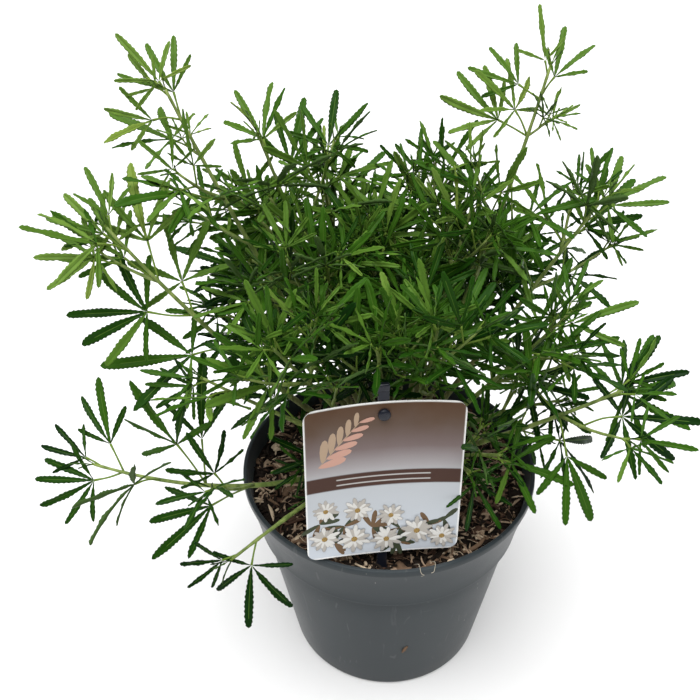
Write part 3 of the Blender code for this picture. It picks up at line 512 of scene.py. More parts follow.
# The card, its stake and its print
CARD_COLUMNS = 22
CARD_ROWS = 30
CARD_CORNER_STEPS = 5
CARD_EDGE = 0.0008
# The stake's rounds, its ribs, its head, and the button's edge by share of its radius and height
STAKE_ROUND = 0.0006
STAKE_RIB_WIDTH = 0.0016
STAKE_RIB_RISE = 0.0006
STAKE_RIB_SHORT = 0.02
STAKE_RIB_ROUND = 0.0004
STAKE_RIB_BACK = 0.0004
HEAD_WIDER = 0.0006
HEAD_THICKER = 0.0008
HEAD_HEIGHT = 0.0044
HEAD_ROUND = 0.0011
BUTTON_POINTS = ((1, -0.0009), (0.86, -0.0003), (0.5, 0), (0, 0.0001))
CARD_SHARP = math.radians(40)
CARD_WHITE = (0.80, 0.80, 0.78)
CARD_PALE = (0.52, 0.56, 0.61)
CARD_BACK_COLOUR = (0.62, 0.62, 0.60)
# Height on the card, from 0 at its foot, and the colour there
CARD_FADE = (
    (0.0, (0.52, 0.56, 0.61)),
    (0.52, (0.44, 0.46, 0.48)),
    (0.60, (0.34, 0.32, 0.325)),
    (0.72, (0.170, 0.130, 0.125)),
    (0.86, (0.108, 0.070, 0.050)),
    (1.0, (0.088, 0.042, 0.018)),
)
CARD_CLOUD = 0.03
BAND_PLACE = (0.474, 0.568)
BAND_BROWN = (0.066, 0.036, 0.028)
RULE_PLACES = ((0.501, 0.505), (0.536, 0.540))
# Daisies: across, up the card, and the reach of their petals
DAISIES = (
    (-0.0325, 0.0345, 0.0078),
    (-0.0145, 0.0325, 0.0086),
    (0.0045, 0.0270, 0.0080),
    (-0.0335, 0.0150, 0.0090),
    (-0.0165, 0.0125, 0.0096),
    (0.0020, 0.0105, 0.0090),
    (0.0195, 0.0150, 0.0096),
    (0.0340, 0.0105, 0.0086),
)
DAISY_PETALS = 10
PETAL_STEPS = 12
# The print's shapes lie a hair above the card, each over the last
PRINT_LIFT = 0.00002
DAISY_LIFT = 0.00005
DAISY_STEP = 0.00012
DAISY_PLAY = 0.10
DAISY_LENGTHS = (0.90, 1.08)
DAISY_ROW_RISE = 0.00006
DAISY_EYE = (0.19, 0.10)
DAISY_EYE_LIFT = 0.0003
DAISY_EYE_CROWN = 0.0001
PETAL_CROWN = 0.00016
PETAL_CREST = 0.55
PETAL_HEEL = 0.75
# Each petal lies on a shade that is a little longer and wider
SHADE_LONGER = 1.02
SHADE_WIDER = 0.035
PRINT_LEAF_LENGTHS = (0.009, 0.014)
PRINT_LEAF_WIDTH = 0.0030
# Rows of petals: reach and width as shares of the daisy's size, and the shades they draw from
DAISY_ROWS = ((1, 0.27, (1, 1, 0)), (0.74, 0.22, (0, 0, 1)))
# Leaves of the print: across, up the card, and how many
PRINT_LEAVES = (
    (-0.036, 0.026, 6),
    (-0.022, 0.022, 7),
    (-0.006, 0.019, 7),
    (0.010, 0.017, 7),
    (0.027, 0.018, 7),
    (0.035, 0.022, 4),
    (-0.028, 0.011, 5),
    (0.008, 0.008, 6),
)
SPRIG_PRINT_LEAVES = 11
SPRIG_PRINT_FROM = (-0.037, 0.064)
SPRIG_PRINT_TO = (-0.012, 0.092)
SPRIG_PRINT_LENGTH = 0.016
SPRIG_PRINT_BREADTH = 0.30
SPRIG_PRINT_ANGLE = 0.62
SPRIG_PRINT_STEM = 0.0007
SPRIG_PRINT_LIFT = 0.00003
SPRIG_PRINT_CROWN = 0.00008
PRINT_COLOURS = (
    ("petal_light", (0.60, 0.59, 0.56)),
    ("petal_shade", (0.40, 0.375, 0.340)),
    ("daisy_middle", (0.36, 0.24, 0.07)),
    ("print_green", (0.045, 0.055, 0.030)),
    ("print_brown", (0.14, 0.085, 0.045)),
    ("petal_outline", (0.23, 0.225, 0.225)),
    ("sprig_rose", (0.52, 0.30, 0.235)),
    ("sprig_tan", (0.40, 0.29, 0.20)),
)

# Camera of the photo, with its focal length in pixels of a picture 700 wide, and the stage
PHOTO_WIDTH = 700
CAMERA_FOCAL_PIXELS = 850
SENSOR_WIDTH = 36
CAMERA_PITCH = math.radians(35.2)
CAMERA_ROLL = math.radians(-0.7)
CAMERA_DISTANCE = 0.561
CAMERA_ASIDE = 0.0252
CAMERA_RAISE = -0.0719
FLOOR_RADIUS = 12
FLOOR_PALE = (0.62, 0.62, 0.62)
FLOOR_GLOW = 0.2
# The wide soft light overhead, and the studio's walls: bright at eye level, dim above
SUN_STRENGTH = 5.6
SUN_ANGLE = math.radians(60)
SUN_FROM = (-0.08, -0.16, 1)
WALL_LIGHT = 1.0
CEILING_LIGHT = 0.22
WALL_TOP = 0.22
# The wall behind the viewer is dimmer than the one behind the plant
FRONT_WALL_SHARE = 0.6


# Growth rule


def card_frame():
    """The card's own axes: X across, Z up the card, -Y towards the viewer."""
    turn = Matrix.Rotation(CARD_YAW, 4, "Z") @ Matrix.Rotation(-CARD_LEAN, 4, "X")
    return Matrix.Translation(CARD_MIDDLE) @ turn @ Matrix.Rotation(-CARD_ROLL, 4, "Y")


def card_bend(across, up):
    """How far the card's sides come forward of its middle line."""
    share = up / CARD_HEIGHT
    bend = CARD_BEND_FOOT + (CARD_BEND_TOP - CARD_BEND_FOOT) * share
    return -bend * (2 * across / CARD_WIDTH) ** 2


def level_out(azimuth):
    """The level direction at an azimuth in degrees."""
    return Vector((math.cos(math.radians(azimuth)), math.sin(math.radians(azimuth)), 0))


def steepness(shoot):
    return (shoot.height - SOIL_TOP) / shoot.reach


def starts_on_foot(shoots):
    """Where each bough leaves the foot: steeper ones in higher rings, each ring evenly filled."""
    starts = {}
    by_rise = sorted(shoots, key=steepness)
    for ring, level in enumerate(RING_LEVELS):
        share = len(by_rise) / len(RING_LEVELS)
        members = by_rise[round(ring * share) : round((ring + 1) * share)]
        members.sort(key=lambda shoot: shoot.azimuth)
        step = 360 / len(members)
        turns = [shoot.azimuth - step * place for place, shoot in enumerate(members)]
        first = sum(turns) / len(turns)
        height = SOIL_TOP + SOIL_MOUND + GAP + FOOT_HEIGHT * level
        for place, shoot in enumerate(members):
            out = level_out(first + step * place)
            beside = out * foot_radius(level) + UP * height
            middle, _ = bend_and_tip(shoot, beside)
            heading = (middle - beside).normalized()
            edge = BOUGH_RADIUS * math.sqrt(1 - heading.dot(out) ** 2)
            starts[shoot.name] = beside + out * (edge + GAP)
    return starts


def bend_and_tip(shoot, start):
    """The point that the shoot bends towards on its way, and its tip."""
    out = level_out(shoot.azimuth)
    side = UP.cross(out)
    tip = out * shoot.reach + UP * shoot.height
    return start.lerp(tip, 0.5) + UP * shoot.bow + side * shoot.swing, tip


def shoot_point(shoot, share):
    """A point on the shoot's middle line, from the foot at 0 to the tip at 1."""
    start = STARTS[shoot.name]
    middle, tip = bend_and_tip(shoot, start)
    return start.lerp(middle, share).lerp(middle.lerp(tip, share), share)


def path_points(shoot, first, last, steps):
    return [shoot_point(shoot, first + (last - first) * step / steps) for step in range(steps + 1)]


def path_length(points):
    return sum((second - first).length for first, second in zip(points, points[1:]))


def along(points, distance_from_end):
    """The point, and the direction towards the tip, at a distance back from the end."""
    left = distance_from_end
    for second, first in zip(reversed(points), reversed(points[:-1])):
        step = (second - first).length
        if left <= step:
            return second.lerp(first, left / step), (second - first).normalized()
        left -= step
    return points[0].copy(), (points[1] - points[0]).normalized()


def any_side(direction):
    """A direction square to the given one, level where it can be."""
    side = UP.cross(direction)
    if side.length < UPRIGHT_SIDE:
        side = Vector((1, 0, 0)).cross(direction)
    return side.normalized()


def grow_leaf(draw, base, stem_direction, side, pair, scale, droop, rank):
    """One leaf: a petiole from the stem to a hub, where its leaflets spread like fingers."""
    angle = math.radians(PETIOLE_ANGLES[pair] + draw.uniform(-PETIOLE_PLAY, PETIOLE_PLAY))
    heading = stem_direction * math.cos(angle) + side * math.sin(angle)
    heading = (heading + UP * (draw.uniform(*PETIOLE_RISES) - droop)).normalized()
    petiole = PETIOLES[pair] * scale * draw.uniform(*PETIOLE_SHARES)
    axis = (heading + UP * (draw.uniform(*AXIS_RISES) - droop)).normalized()
    face = stem_direction * FACE_ALONG + FACE_LIGHT + random_direction(draw) * FACE_PLAY
    face = (face - axis * face.dot(axis)).normalized()
    length = LEAFLETS[pair] * scale * draw.uniform(*LENGTH_SHARES)
    count = draw.choice(LEAFLET_COUNTS if pair else TIP_LEAFLET_COUNTS)
    spread = (FAN_ANGLE + FAN_ANGLE_EACH * count) * draw.uniform(*FAN_SHARES)
    return Leaf(base, base + heading * petiole, axis, face, length, count, spread, rank)


def random_direction(draw):
    return Vector((draw.gauss(0, 1), draw.gauss(0, 1), draw.gauss(0, 1))).normalized()


def leaflet_directions(leaf, count):
    """Direction and length of each of count leaflets, fanned about the leaf's axis."""
    side = leaf.axis.cross(leaf.face)
    fan = []
    for index in range(count):
        share = 2 * index / (count - 1) - 1
        angle = math.radians(leaf.spread * share)
        direction = leaf.axis * math.cos(angle) + side * math.sin(angle)
        fan.append((direction, leaf.length * (1 - SIDE_SHARE * abs(share))))
    return fan


def leaf_reach(leaf):
    """Points all over a leaf, to test what it would touch."""
    points = [leaf.base.lerp(leaf.hub, share) for share in PETIOLE_TESTS]
    for direction, length in leaflet_directions(leaf, leaf.count):
        for share in LEAFLET_TESTS:
            run = length * share
            points.append(leaf.hub + direction * run - leaf.face * (LEAF_DROOP * run * run))
    return np.array([tuple(point) for point in points])


def sinks_into_pot(points):
    """True where a point is in or too near the pot's wall or the soil."""
    radius = np.hypot(points[:, 0], points[:, 1])
    over_wall = (radius > RIM_RADIUS - WALL - POT_DISTANCE) & (points[:, 2] < POT_HEIGHT + POT_DISTANCE)
    over_soil = points[:, 2] < SOIL_TOP + SOIL_MOUND + POT_DISTANCE
    return bool(((radius < RIM_RADIUS + POT_DISTANCE) & (over_wall | over_soil)).any())


def hides_card(points):
    """True where a point stands before the card, seen from the front and somewhat above."""
    local = (points - CARD_ORIGIN) @ CARD_AXES
    before = -local[:, 1]
    level = local[:, 2] - SIGHT_SLOPE * before
    across = (local[:, 0] > CARD_CLEAR_LEFT) & (local[:, 0] < CARD_CLEAR_RIGHT)
    return bool((across & (before > -BEHIND_CARD) & (level > 0) & (level < CARD_CLEAR_TOP)).any())


def near_limb(points, name):
    """True where a point is close to a bough, or to the stem of another mass."""
    first, run, owner = LIMBS
    others = owner != name
    first = first[others]
    run = run[others]
    offset = points[:, None, :] - first[None]
    share = np.clip((offset * run[None]).sum(axis=2) / (run * run).sum(axis=1)[None], 0, 1)
    distance = np.linalg.norm(offset - share[:, :, None] * run[None], axis=2)
    return bool((distance < LIMB_DISTANCE).any())


def fits(leaf, name):
    points = leaf_reach(leaf)
    return not (sinks_into_pot(points) or hides_card(points) or near_limb(points, name))


def limb_segments(shoots):
    """Ends of the straight pieces of every limb, and the mass that each belongs to."""
    first = []
    run = []
    owner = []
    for shoot in shoots:
        for begin, end, name in ((0, shoot.bare, "bough"), (shoot.bare, 1, shoot.name)):
            points = path_points(shoot, begin, end, STEM_STEPS)
            first += [tuple(point) for point in points[:-1]]
            run += [tuple(after - before) for before, after in zip(points, points[1:])]
            owner += [name] * STEM_STEPS
    return np.array(first), np.array(run), np.array(owner)


def fan_leaf(draw, points, fan, size):
    """One of the large leaves that shape the outline, in the place of one of its pair."""
    base, _ = along(points, PAIR_PLACES[fan.pair])
    clock = math.radians(fan.clock)
    axis = SIGHT_RIGHT * math.cos(clock) + SIGHT_UP * math.sin(clock)
    face = SIGHT_RIGHT.cross(SIGHT_UP) + random_direction(draw) * FAN_PLAY
    face = (face - axis * face.dot(axis)).normalized()
    hub = base + axis * PETIOLES[fan.pair] * size
    length = LEAFLETS[fan.pair] * size
    return Leaf(base, hub, axis, face, length, fan.count, FAN_OPENING * fan.count, FAN_RANK)


def leaves_on(draw, points, places, turn, scale, shoot, first_rank, taken=()):
    """Opposite pairs of leaves down a stem, each pair a quarter turn from the last."""
    leaves = []
    length = path_length(points)
    for pair, place_from_tip in enumerate(places):
        if place_from_tip > length - END_CLEARANCE:
            break
        base, direction = along(points, place_from_tip)
        level = any_side(direction)
        for half in (0, 180)[taken.count(pair) :]:
            roll = math.radians(turn + 90 * pair + half + draw.uniform(-ROLL_PLAY, ROLL_PLAY))
            side = Quaternion(direction, roll) @ level
            rank = first_rank + pair
            leaf = grow_leaf(draw, base, direction, side, pair, scale, shoot.droop, rank)
            if draw.random() < shoot.full and fits(leaf, shoot.name):
                leaves.append(leaf)
    return leaves


def first_turn(shoot):
    """How far the pair of leaves at the tip is turned about the stem, in degrees."""
    return random.Random(shoot.name + " turn").uniform(0, 90)


def grow(shoot):
    """The stem, twigs and leaves of a shoot's mass, always the same for the same shoot."""
    draw = random.Random(shoot.name)
    points = path_points(shoot, shoot.bare, 1, STEM_STEPS)
    stem = Stem(points, GREEN_RADIUS, GREEN_TIP_RADIUS)
    fans = [fan for fan in FANS if fan.shoot == shoot.name]
    taken = [fan.pair for fan in fans]
    turn = first_turn(shoot)
    leaves = [fan_leaf(draw, points, fan, shoot.size) for fan in fans]
    leaves = [leaf for leaf in leaves if fits(leaf, shoot.name)]
    leaves += leaves_on(draw, points, PAIR_PLACES, turn, shoot.size, shoot, 0, taken)
    length = path_length(points)
    axils = []
    for pair in range(FIRST_TWIG_PAIR, len(PAIR_PLACES)):
        if PAIR_PLACES[pair] < length - 2 * END_CLEARANCE:
            axils += [(pair, 0), (pair, 180)]
    draw.shuffle(axils)
    twigs = []
    for pair, half in axils[: shoot.twigs]:
        base, direction = along(points, PAIR_PLACES[pair])
        roll = math.radians(turn + 90 * pair + half + draw.uniform(-TWIG_PLAY, TWIG_PLAY))
        side = Quaternion(direction, roll) @ any_side(direction)
        angle = math.radians(TWIG_ANGLE + draw.uniform(-PETIOLE_PLAY, PETIOLE_PLAY))
        heading = direction * math.cos(angle) + side * math.sin(angle)
        share = TOP_TWIG_SHARE if pair == FIRST_TWIG_PAIR else 1
        reach = draw.uniform(*TWIG_LENGTHS) * share
        tip = base + (heading + UP * TWIG_RISE).normalized() * reach
        middle = base.lerp(tip, 0.5) - UP * reach * TWIG_SAG
        twig = Stem([base, middle, tip], TWIG_LOOK_RADIUS, TWIG_TIP_RADIUS)
        twig_turn = draw.uniform(0, 90)
        scale = TWIG_SCALE * shoot.size
        there = leaves_on(draw, twig.points, TWIG_PLACES, twig_turn, scale, shoot, 2)
        if not (hides_card(twig_reach(twig)) or near_limb(twig_reach(twig), shoot.name)):
            twigs.append((twig, there))
    return stem, leaves, twigs


def twig_reach(twig):
    """Points along a twig, from just clear of its stem."""
    base, middle, tip = twig.points
    return np.array([tuple(base.lerp(middle, 0.5)), tuple(middle), tuple(tip)])


# Meshes


class Sheaf:
    """Gathers triangles, each with the number of its surface, into one joined mesh."""

    def __init__(self):
        self.points = []
        self.faces = []
        self.surfaces = []
        self.count = 0

    def add(self, points, faces, surfaces):
        points = np.asarray(points, float).reshape(-1, 3)
        faces = np.asarray(faces, int).reshape(-1, 3)
        self.points.append(points)
        self.faces.append(faces + self.count)
        self.surfaces.append(np.broadcast_to(surfaces, len(faces)))
        self.count += len(points)

    def build(self, name, materials, nodes):
        """Makes the piece, which rides on the one body and stands for CAD nodes."""
        faces = np.concatenate(self.faces)
        mesh = bpy.data.meshes.new(name)
        mesh.vertices.add(self.count)
        mesh.vertices.foreach_set("co", np.concatenate(self.points).astype(np.float32).ravel())
        mesh.loops.add(3 * len(faces))
        mesh.loops.foreach_set("vertex_index", faces.astype(np.int32).ravel())
        mesh.polygons.add(len(faces))
        mesh.polygons.foreach_set("loop_start", np.arange(0, 3 * len(faces), 3, dtype=np.int32))
        mesh.update(calc_edges=True)
        for surface in materials:
            mesh.materials.append(surface)
        mesh.polygons.foreach_set("material_index", np.concatenate(self.surfaces).astype(np.int32))
        mesh.shade_smooth()
        return piece(name, mesh, nodes)


def piece(name, mesh, nodes):
    made = bpy.data.objects.new(name, mesh)
    bpy.context.scene.collection.objects.link(made)
    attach(made, BODY)
    if nodes:
        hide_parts(*nodes)
    return made


def ring_faces(rings, sides, closed=True):
    """Triangles between rings of points, which are stored one ring after the other."""
    faces = []
    for ring in range(rings - 1):
        for side in range(sides if closed else sides - 1):
            here = ring * sides + side
            after = ring * sides + (side + 1) % sides
            faces.append((here, after, after + sides))
            faces.append((here, after + sides, here + sides))
    return np.array(faces)


def fan_faces(middle, ring, outward=True):
    """Triangles from one point to a closed ring of points."""
    faces = []
    for first, second in zip(ring, np.roll(ring, -1)):
        faces.append((middle, first, second) if outward else (middle, second, first))
    return np.array(faces)


# A side to start a tube from, unless its first step is nearly upright
ANY_SIDE = (0.31, 0.17, 0.94)
NEAR_UPRIGHT = 0.9


def tube(points, radii, sides, relief=None):
    """A closed round limb along its points. relief gives a factor for each (ring, side)."""
    points = np.asarray(points, float)
    steps = np.gradient(points, axis=0)
    steps /= np.linalg.norm(steps, axis=1)[:, None]
    side = np.cross(steps[0], ANY_SIDE if abs(steps[0][2]) < NEAR_UPRIGHT else (1, 0, 0))
    side /= np.linalg.norm(side)
    rings = []
    angles = np.arange(sides) * 2 * math.pi / sides
    for index, (point, step) in enumerate(zip(points, steps)):
        side = side - step * (side @ step)
        side /= np.linalg.norm(side)
        other = np.cross(step, side)
        factor = 1 if relief is None else relief[index][:, None]
        around = np.cos(angles)[:, None] * side + np.sin(angles)[:, None] * other
        rings.append(point + around * radii[index] * factor)
    corners = np.concatenate(rings + [points[:1], points[-1:]])
    last = len(points) * sides
    first_ring = np.arange(sides)
    faces = np.concatenate(
        [
            ring_faces(len(points), sides),
            fan_faces(last, first_ring, False),
            fan_faces(last + 1, first_ring + last - sides),
        ]
    )
    return corners, faces


def smooth_path(points, steps):
    """A smooth curve through the points."""
    points = np.asarray([tuple(point) for point in points], float)
    padded = np.concatenate([[2 * points[0] - points[1]], points, [2 * points[-1] - points[-2]]])
    out = []
    for index in range(len(points) - 1):
        before, first, second, after = padded[index : index + 4]
        for share in np.arange(steps) / steps:
            out.append(
                0.5
                * (
                    2 * first
                    + (second - before) * share
                    + (2 * before - 5 * first + 4 * second - after) * share**2
                    + (3 * first - before - 3 * second + after) * share**3
                )
            )
    out.append(points[-1])
    return np.array(out)


# Leaves


def tooth_count(length):
    return max(FEWEST_TEETH, round(length / TOOTH_SPACING))


def leaflet(draw, root, along_it, face, length, width, bend, sway, twist):
    """A narrow leaflet as a thin closed blade: its points, triangles and surfaces."""
    stations = tooth_count(length)
    places = np.append(np.linspace(*TOOTH_RUN, stations), TIP_PLACE)
    stations += 1
    between = (places[:-1] + places[1:]) / 2
    everywhere = np.concatenate([[0], places, between, [1]])
    turn = bend * everywhere
    safe = bend if abs(bend) > LEAST_BEND else LEAST_BEND
    forward = np.sin(safe * everywhere) / safe
    drop = (1 - np.cos(safe * everywhere)) / safe
    side = np.cross(along_it, face)
    middle = root + length * (forward[:, None] * along_it - drop[:, None] * face)
    middle = middle + length * sway * (everywhere**2)[:, None] * side
    level = np.sin(turn)[:, None] * along_it + np.cos(turn)[:, None] * face
    roll = twist * everywhere
    across = np.cos(roll)[:, None] * side + np.sin(roll)[:, None] * level
    lift = np.cos(roll)[:, None] * level - np.sin(roll)[:, None] * side
    half = np.interp(everywhere, WIDTH_PLACES, WIDTH_SHARES) * width / 2
    teeth = np.concatenate([[1], np.full(stations, TOOTH_LOW), np.full(stations - 1, TOOTH_HIGH), [1]])
    teeth = teeth + np.array([draw.uniform(-TOOTH_PLAY, TOOTH_PLAY) for _ in teeth])
    phase = draw.uniform(0, 2 * math.pi)
    wave = WAVE_HEIGHT * np.sin(WAVES * 2 * math.pi * everywhere + phase)
    fold = LEAF_FOLD * draw.uniform(*FOLD_SHARES)

    def spot(index, share, depth):
        """The point at a share of the half width, raised by the fold and lowered by depth."""
        reach = half[index] * share
        height = abs(reach) * fold - depth + wave[index] * share * abs(share)
        return middle[index] + across[index] * reach + lift[index] * height

    points = [middle[0]]
    for step in range(stations):
        index = 1 + step
        points.append(spot(index, -teeth[index], 0))
        points += [spot(index, share, depth) for share, depth in BLADE_COLUMNS]
        points.append(spot(index, teeth[index], 0))
        points.append(spot(index, 0, BLADE_DEPTH))
    for step in range(stations - 1):
        index = 1 + stations + step
        points.append(spot(index, -teeth[index], 0))
        points.append(spot(index, teeth[index], 0))
    points.append(middle[-1])
    faces, kinds = leaflet_faces(stations)
    return np.array(points), faces, kinds


FACES_OF_LEAFLETS = {}


def leaflet_faces(stations):
    """Triangles of a leaflet, and for each the kind: 0 blade, 1 rib and base, 2 underside."""
    if stations in FACES_OF_LEAFLETS:
        return FACES_OF_LEAFLETS[stations]
    faces = []
    kinds = []
    tip = 1 + 7 * stations + 2 * (stations - 1)

    def put(kind, *corners):
        faces.append(corners)
        kinds.append(kind)

    def at(step, column):
        return 1 + 7 * step + column

    for column in range(5):
        put(1, 0, at(0, column + 1), at(0, column))
    put(2, 0, at(0, 0), at(0, 6))
    put(2, 0, at(0, 6), at(0, 5))
    for step in range(stations - 1):
        rib = int(step < RIB_RUN * stations)
        left = 1 + 7 * stations + 2 * step
        right = left + 1
        after = step + 1
        put(0, at(step, 0), at(step, 1), left)
        put(0, left, at(step, 1), at(after, 1))
        put(0, left, at(after, 1), at(after, 0))
        put(0, at(step, 5), right, at(step, 4))
        put(0, right, at(after, 4), at(step, 4))
        put(0, right, at(after, 5), at(after, 4))
        for column, kind in ((1, 0), (2, rib), (3, 0)):
            put(kind, at(step, column), at(step, column + 1), at(after, column + 1))
            put(kind, at(step, column), at(after, column + 1), at(after, column))
        put(2, at(step, 0), left, at(step, 6))
        put(2, left, at(after, 6), at(step, 6))
        put(2, left, at(after, 0), at(after, 6))
        put(2, at(step, 5), at(step, 6), right)
        put(2, right, at(step, 6), at(after, 6))
        put(2, right, at(after, 6), at(after, 5))
    last = stations - 1
    for column in range(5):
        put(0, at(last, column), at(last, column + 1), tip)
    put(2, at(last, 0), tip, at(last, 6))
    put(2, at(last, 6), tip, at(last, 5))
    FACES_OF_LEAFLETS[stations] = (np.array(faces), np.array(kinds))
    return FACES_OF_LEAFLETS[stations]


def unit(vector):
    return vector / np.linalg.norm(vector)


def add_leaf(sheaf, draw, leaf, tint, width_share=1):
    """Adds the leaflets and the stalk of one leaf."""
    axis = np.array(leaf.axis)
    face = np.array(leaf.face)
    side = np.cross(axis, face)
    hub = np.array(leaf.hub)
    for index in range(leaf.count):
        share = 2 * index / (leaf.count - 1) - 1 if leaf.count > 1 else 0
        angle = math.radians(leaf.spread * share + draw.uniform(-TURN_PLAY, TURN_PLAY))
        direction = axis * math.cos(angle) + side * math.sin(angle)
        dip = math.radians(draw.uniform(*DIPS))
        along_it = unit(direction * math.cos(dip) - face * math.sin(dip))
        roll = draw.uniform(-LEAFLET_ROLL, LEAFLET_ROLL)
        normal = unit(face + np.cross(direction, face) * roll + direction * math.sin(dip))
        normal = unit(normal - along_it * (normal @ along_it))
        length = leaf.length * (1 - SIDE_SHARE * abs(share)) * draw.uniform(*LEAFLET_SHARES)
        width = BLADE_WIDTH * width_share * draw.uniform(*BREADTH_SHARES)
        width = width * min(1, length / FULL_WIDTH_LENGTH)
        bend = draw.uniform(*BENDS)
        sway = draw.uniform(-SWAY, SWAY)
        twist = draw.uniform(-TWIST, TWIST)
        points, faces, kinds = leaflet(draw, hub, along_it, normal, length, width, bend, sway, twist)
        neighbour = tint + (draw.random() < ODD_TINT_CHANCE) * draw.choice((-1, 1))
        neighbour = min(max(neighbour, 0), len(TINTS) - 1)
        surfaces = np.choose(kinds, (neighbour, RIB_PLACE, UNDER_PLACE))
        sheaf.add(points, faces, surfaces)
    base = np.array(leaf.base)
    run = hub - base
    length = np.linalg.norm(run)
    middle = base + run * 0.5 + np.array((0, 0, draw.uniform(*STALK_RISES) * length))
    path = smooth_path((base, middle, hub), STALK_STEPS)
    thickness = STALK_SHARES[0] + STALK_SHARES[1] * width_share
    radii = np.linspace(STALK_RADIUS, STALK_END_RADIUS, len(path)) * thickness
    radii[-1] *= HUB_SWELL
    radii[-2] *= (1 + HUB_SWELL) / 2
    points, faces = tube(path, radii, STALK_SIDES)
    sheaf.add(points, faces, STALK_PLACE)


def tint_and_painted_shade_of(draw, point, rank):
    """The number of a leaf's tint: dark low and inside, bright high and near the tips. Young leaves are
    paler; the darkening low and inside is also painted shade, and the brightening high up painted light.
    """
    height = (point[2] - SOIL_TOP) / CROWN_HEIGHT
    outward = math.hypot(point[0], point[1]) / CROWN_RADIUS
    # Painted shade and light: height and reach lift the tint, so leaves low down and inside the crown get
    # darker colours
    level = TINT_BASE + TINT_AND_PAINTED_LIGHT_RISE * height + TINT_AND_PAINTED_SHADE_REACH * outward - TINT_FALL * abs(rank)
    level += draw.gauss(0, TINT_PLAY)
    return min(max(round(level), 0), len(TINTS) - 1)


def fine_growth(shoot, stem, twigs):
    """The short sprigs of small leaves in the axils, and the young leaves at each tip."""
    draw = random.Random(shoot.name + " fine")
    extra_leaves = []
    extra_stems = []
    likely = SPRIG_CHANCE * (shoot.twigs / 6) ** 0.5
    holders = [(stem.points, PAIR_PLACES, first_turn(shoot))]
    holders += [(twig.points, TWIG_PLACES, 45) for twig, _ in twigs]
    for points, places, turn in holders:
        length = path_length(points)
        for pair, place_from_tip in enumerate(places):
            if pair == 0 or place_from_tip > length - SPRIG_CLEARANCE:
                continue
            base, direction = along(points, place_from_tip)
            level = any_side(direction)
            for half in (0, 180):
                if draw.random() > likely:
                    continue
                roll = math.radians(turn + 90 * pair + half + draw.uniform(-SPRIG_PLAY, SPRIG_PLAY))
                side = Quaternion(direction, roll) @ level
                heading = (direction + side * draw.uniform(*SPRIG_OUT) + UP * SPRIG_RISE).normalized()
                reach = draw.uniform(*SPRIG_LENGTHS)
                tip = base + heading * reach
                middle = base.lerp(tip, 0.5) - UP * reach * SPRIG_SAG
                sprig = Stem([base, middle, tip], SPRIG_RADIUS, SPRIG_TIP_RADIUS)
                if near_limb(twig_reach(sprig), shoot.name) or hides_card(twig_reach(sprig)):
                    continue
                extra_stems.append(sprig)
                scale = draw.uniform(*SPRIG_SCALES) * shoot.size
                extra_leaves += leaves_on(draw, sprig.points, SPRIG_PLACES, turn, scale, shoot, 1)
    for points, _, turn in holders:
        tip, direction = along(points, 0)
        level = any_side(direction)
        for place in range(YOUNG_LEAVES):
            angle = math.radians(360 / YOUNG_LEAVES * place + turn)
            side = Quaternion(direction, angle) @ level
            heading = (direction + side * YOUNG_OUT).normalized()
            face = (UP * YOUNG_UP - side * YOUNG_IN).normalized()
            face = (face - heading * face.dot(heading)).normalized()
            length = draw.uniform(*YOUNG_LENGTHS)
            young = Leaf(tip, tip + heading * YOUNG_STALK, heading, face, length, 1, 0, 0)
            if fits(young._replace(count=2), shoot.name):
                extra_leaves.append(young)
    return extra_stems, extra_leaves


def make_foliage(shoots_grown, limbs):
    """For each part of the crown, its leaves as one piece and its twigs as another."""
    leaf_materials = TINT_SURFACES + [RIB, UNDERSIDE, STALK]
    for name, members in CROWN_PARTS:
        leaves = Sheaf()
        twigs = Sheaf()
        nodes = ["mass_" + member for member in members]
        for member in members:
            shoot = limbs[member]
            stem, own, side_twigs = shoots_grown[member]
            draw = random.Random(member + " looks")
            extra_stems, extra_leaves = fine_growth(shoot, stem, side_twigs)
            everything = own + [leaf for _, there in side_twigs for leaf in there] + extra_leaves
            for leaf in everything:
                tint = tint_and_painted_shade_of(draw, leaf.hub, leaf.rank)
                add_leaf(leaves, draw, leaf, tint, min(1, LEAST_BREADTH + leaf.length / BREADTH_LENGTH))
            points = path_points(shoot, shoot.bare - STEM_LAP, 1, 2 * STEM_STEPS)
            add_stem(twigs, draw, points, GREEN_RADIUS, GREEN_TIP_RADIUS, PAIR_PLACES)
            for twig, _ in side_twigs:
                add_stem(twigs, draw, twig.points, TWIG_LOOK_RADIUS, TWIG_TIP_RADIUS, TWIG_PLACES)
            for sprig in extra_stems:
                add_stem(twigs, draw, sprig.points, SPRIG_RADIUS, SPRIG_TIP_RADIUS, SPRIG_PLACES)
        leaves.build("leaves_" + name, leaf_materials, nodes)
        twigs.build("twigs_" + name, [GREEN_BARK, STALK], nodes)


def add_stem(sheaf, draw, points, radius, tip_radius, places):
    """A green stem, thicker at each pair of leaves."""
    path = smooth_path(points, 3)
    back = np.concatenate([[0], np.cumsum(np.linalg.norm(np.diff(path[::-1], axis=0), axis=1))])[::-1]
    radii = np.interp(back, (0, back[0]), (tip_radius, radius))
    for place_from_tip in places:
        radii *= 1 + KNOT_SWELL * np.exp(-(((back - place_from_tip) / KNOT_REACH) ** 2))
    wobble = 1 + STEM_WOBBLE * np.array([[draw.uniform(-1, 1) for _ in range(STEM_SIDES)] for _ in path])
    corners, faces = tube(path, radii, STEM_SIDES, wobble)
    sheaf.add(corners, faces, 0)


# Surfaces


def nodes_of(made):
    return made.node_tree.nodes, made.node_tree.links


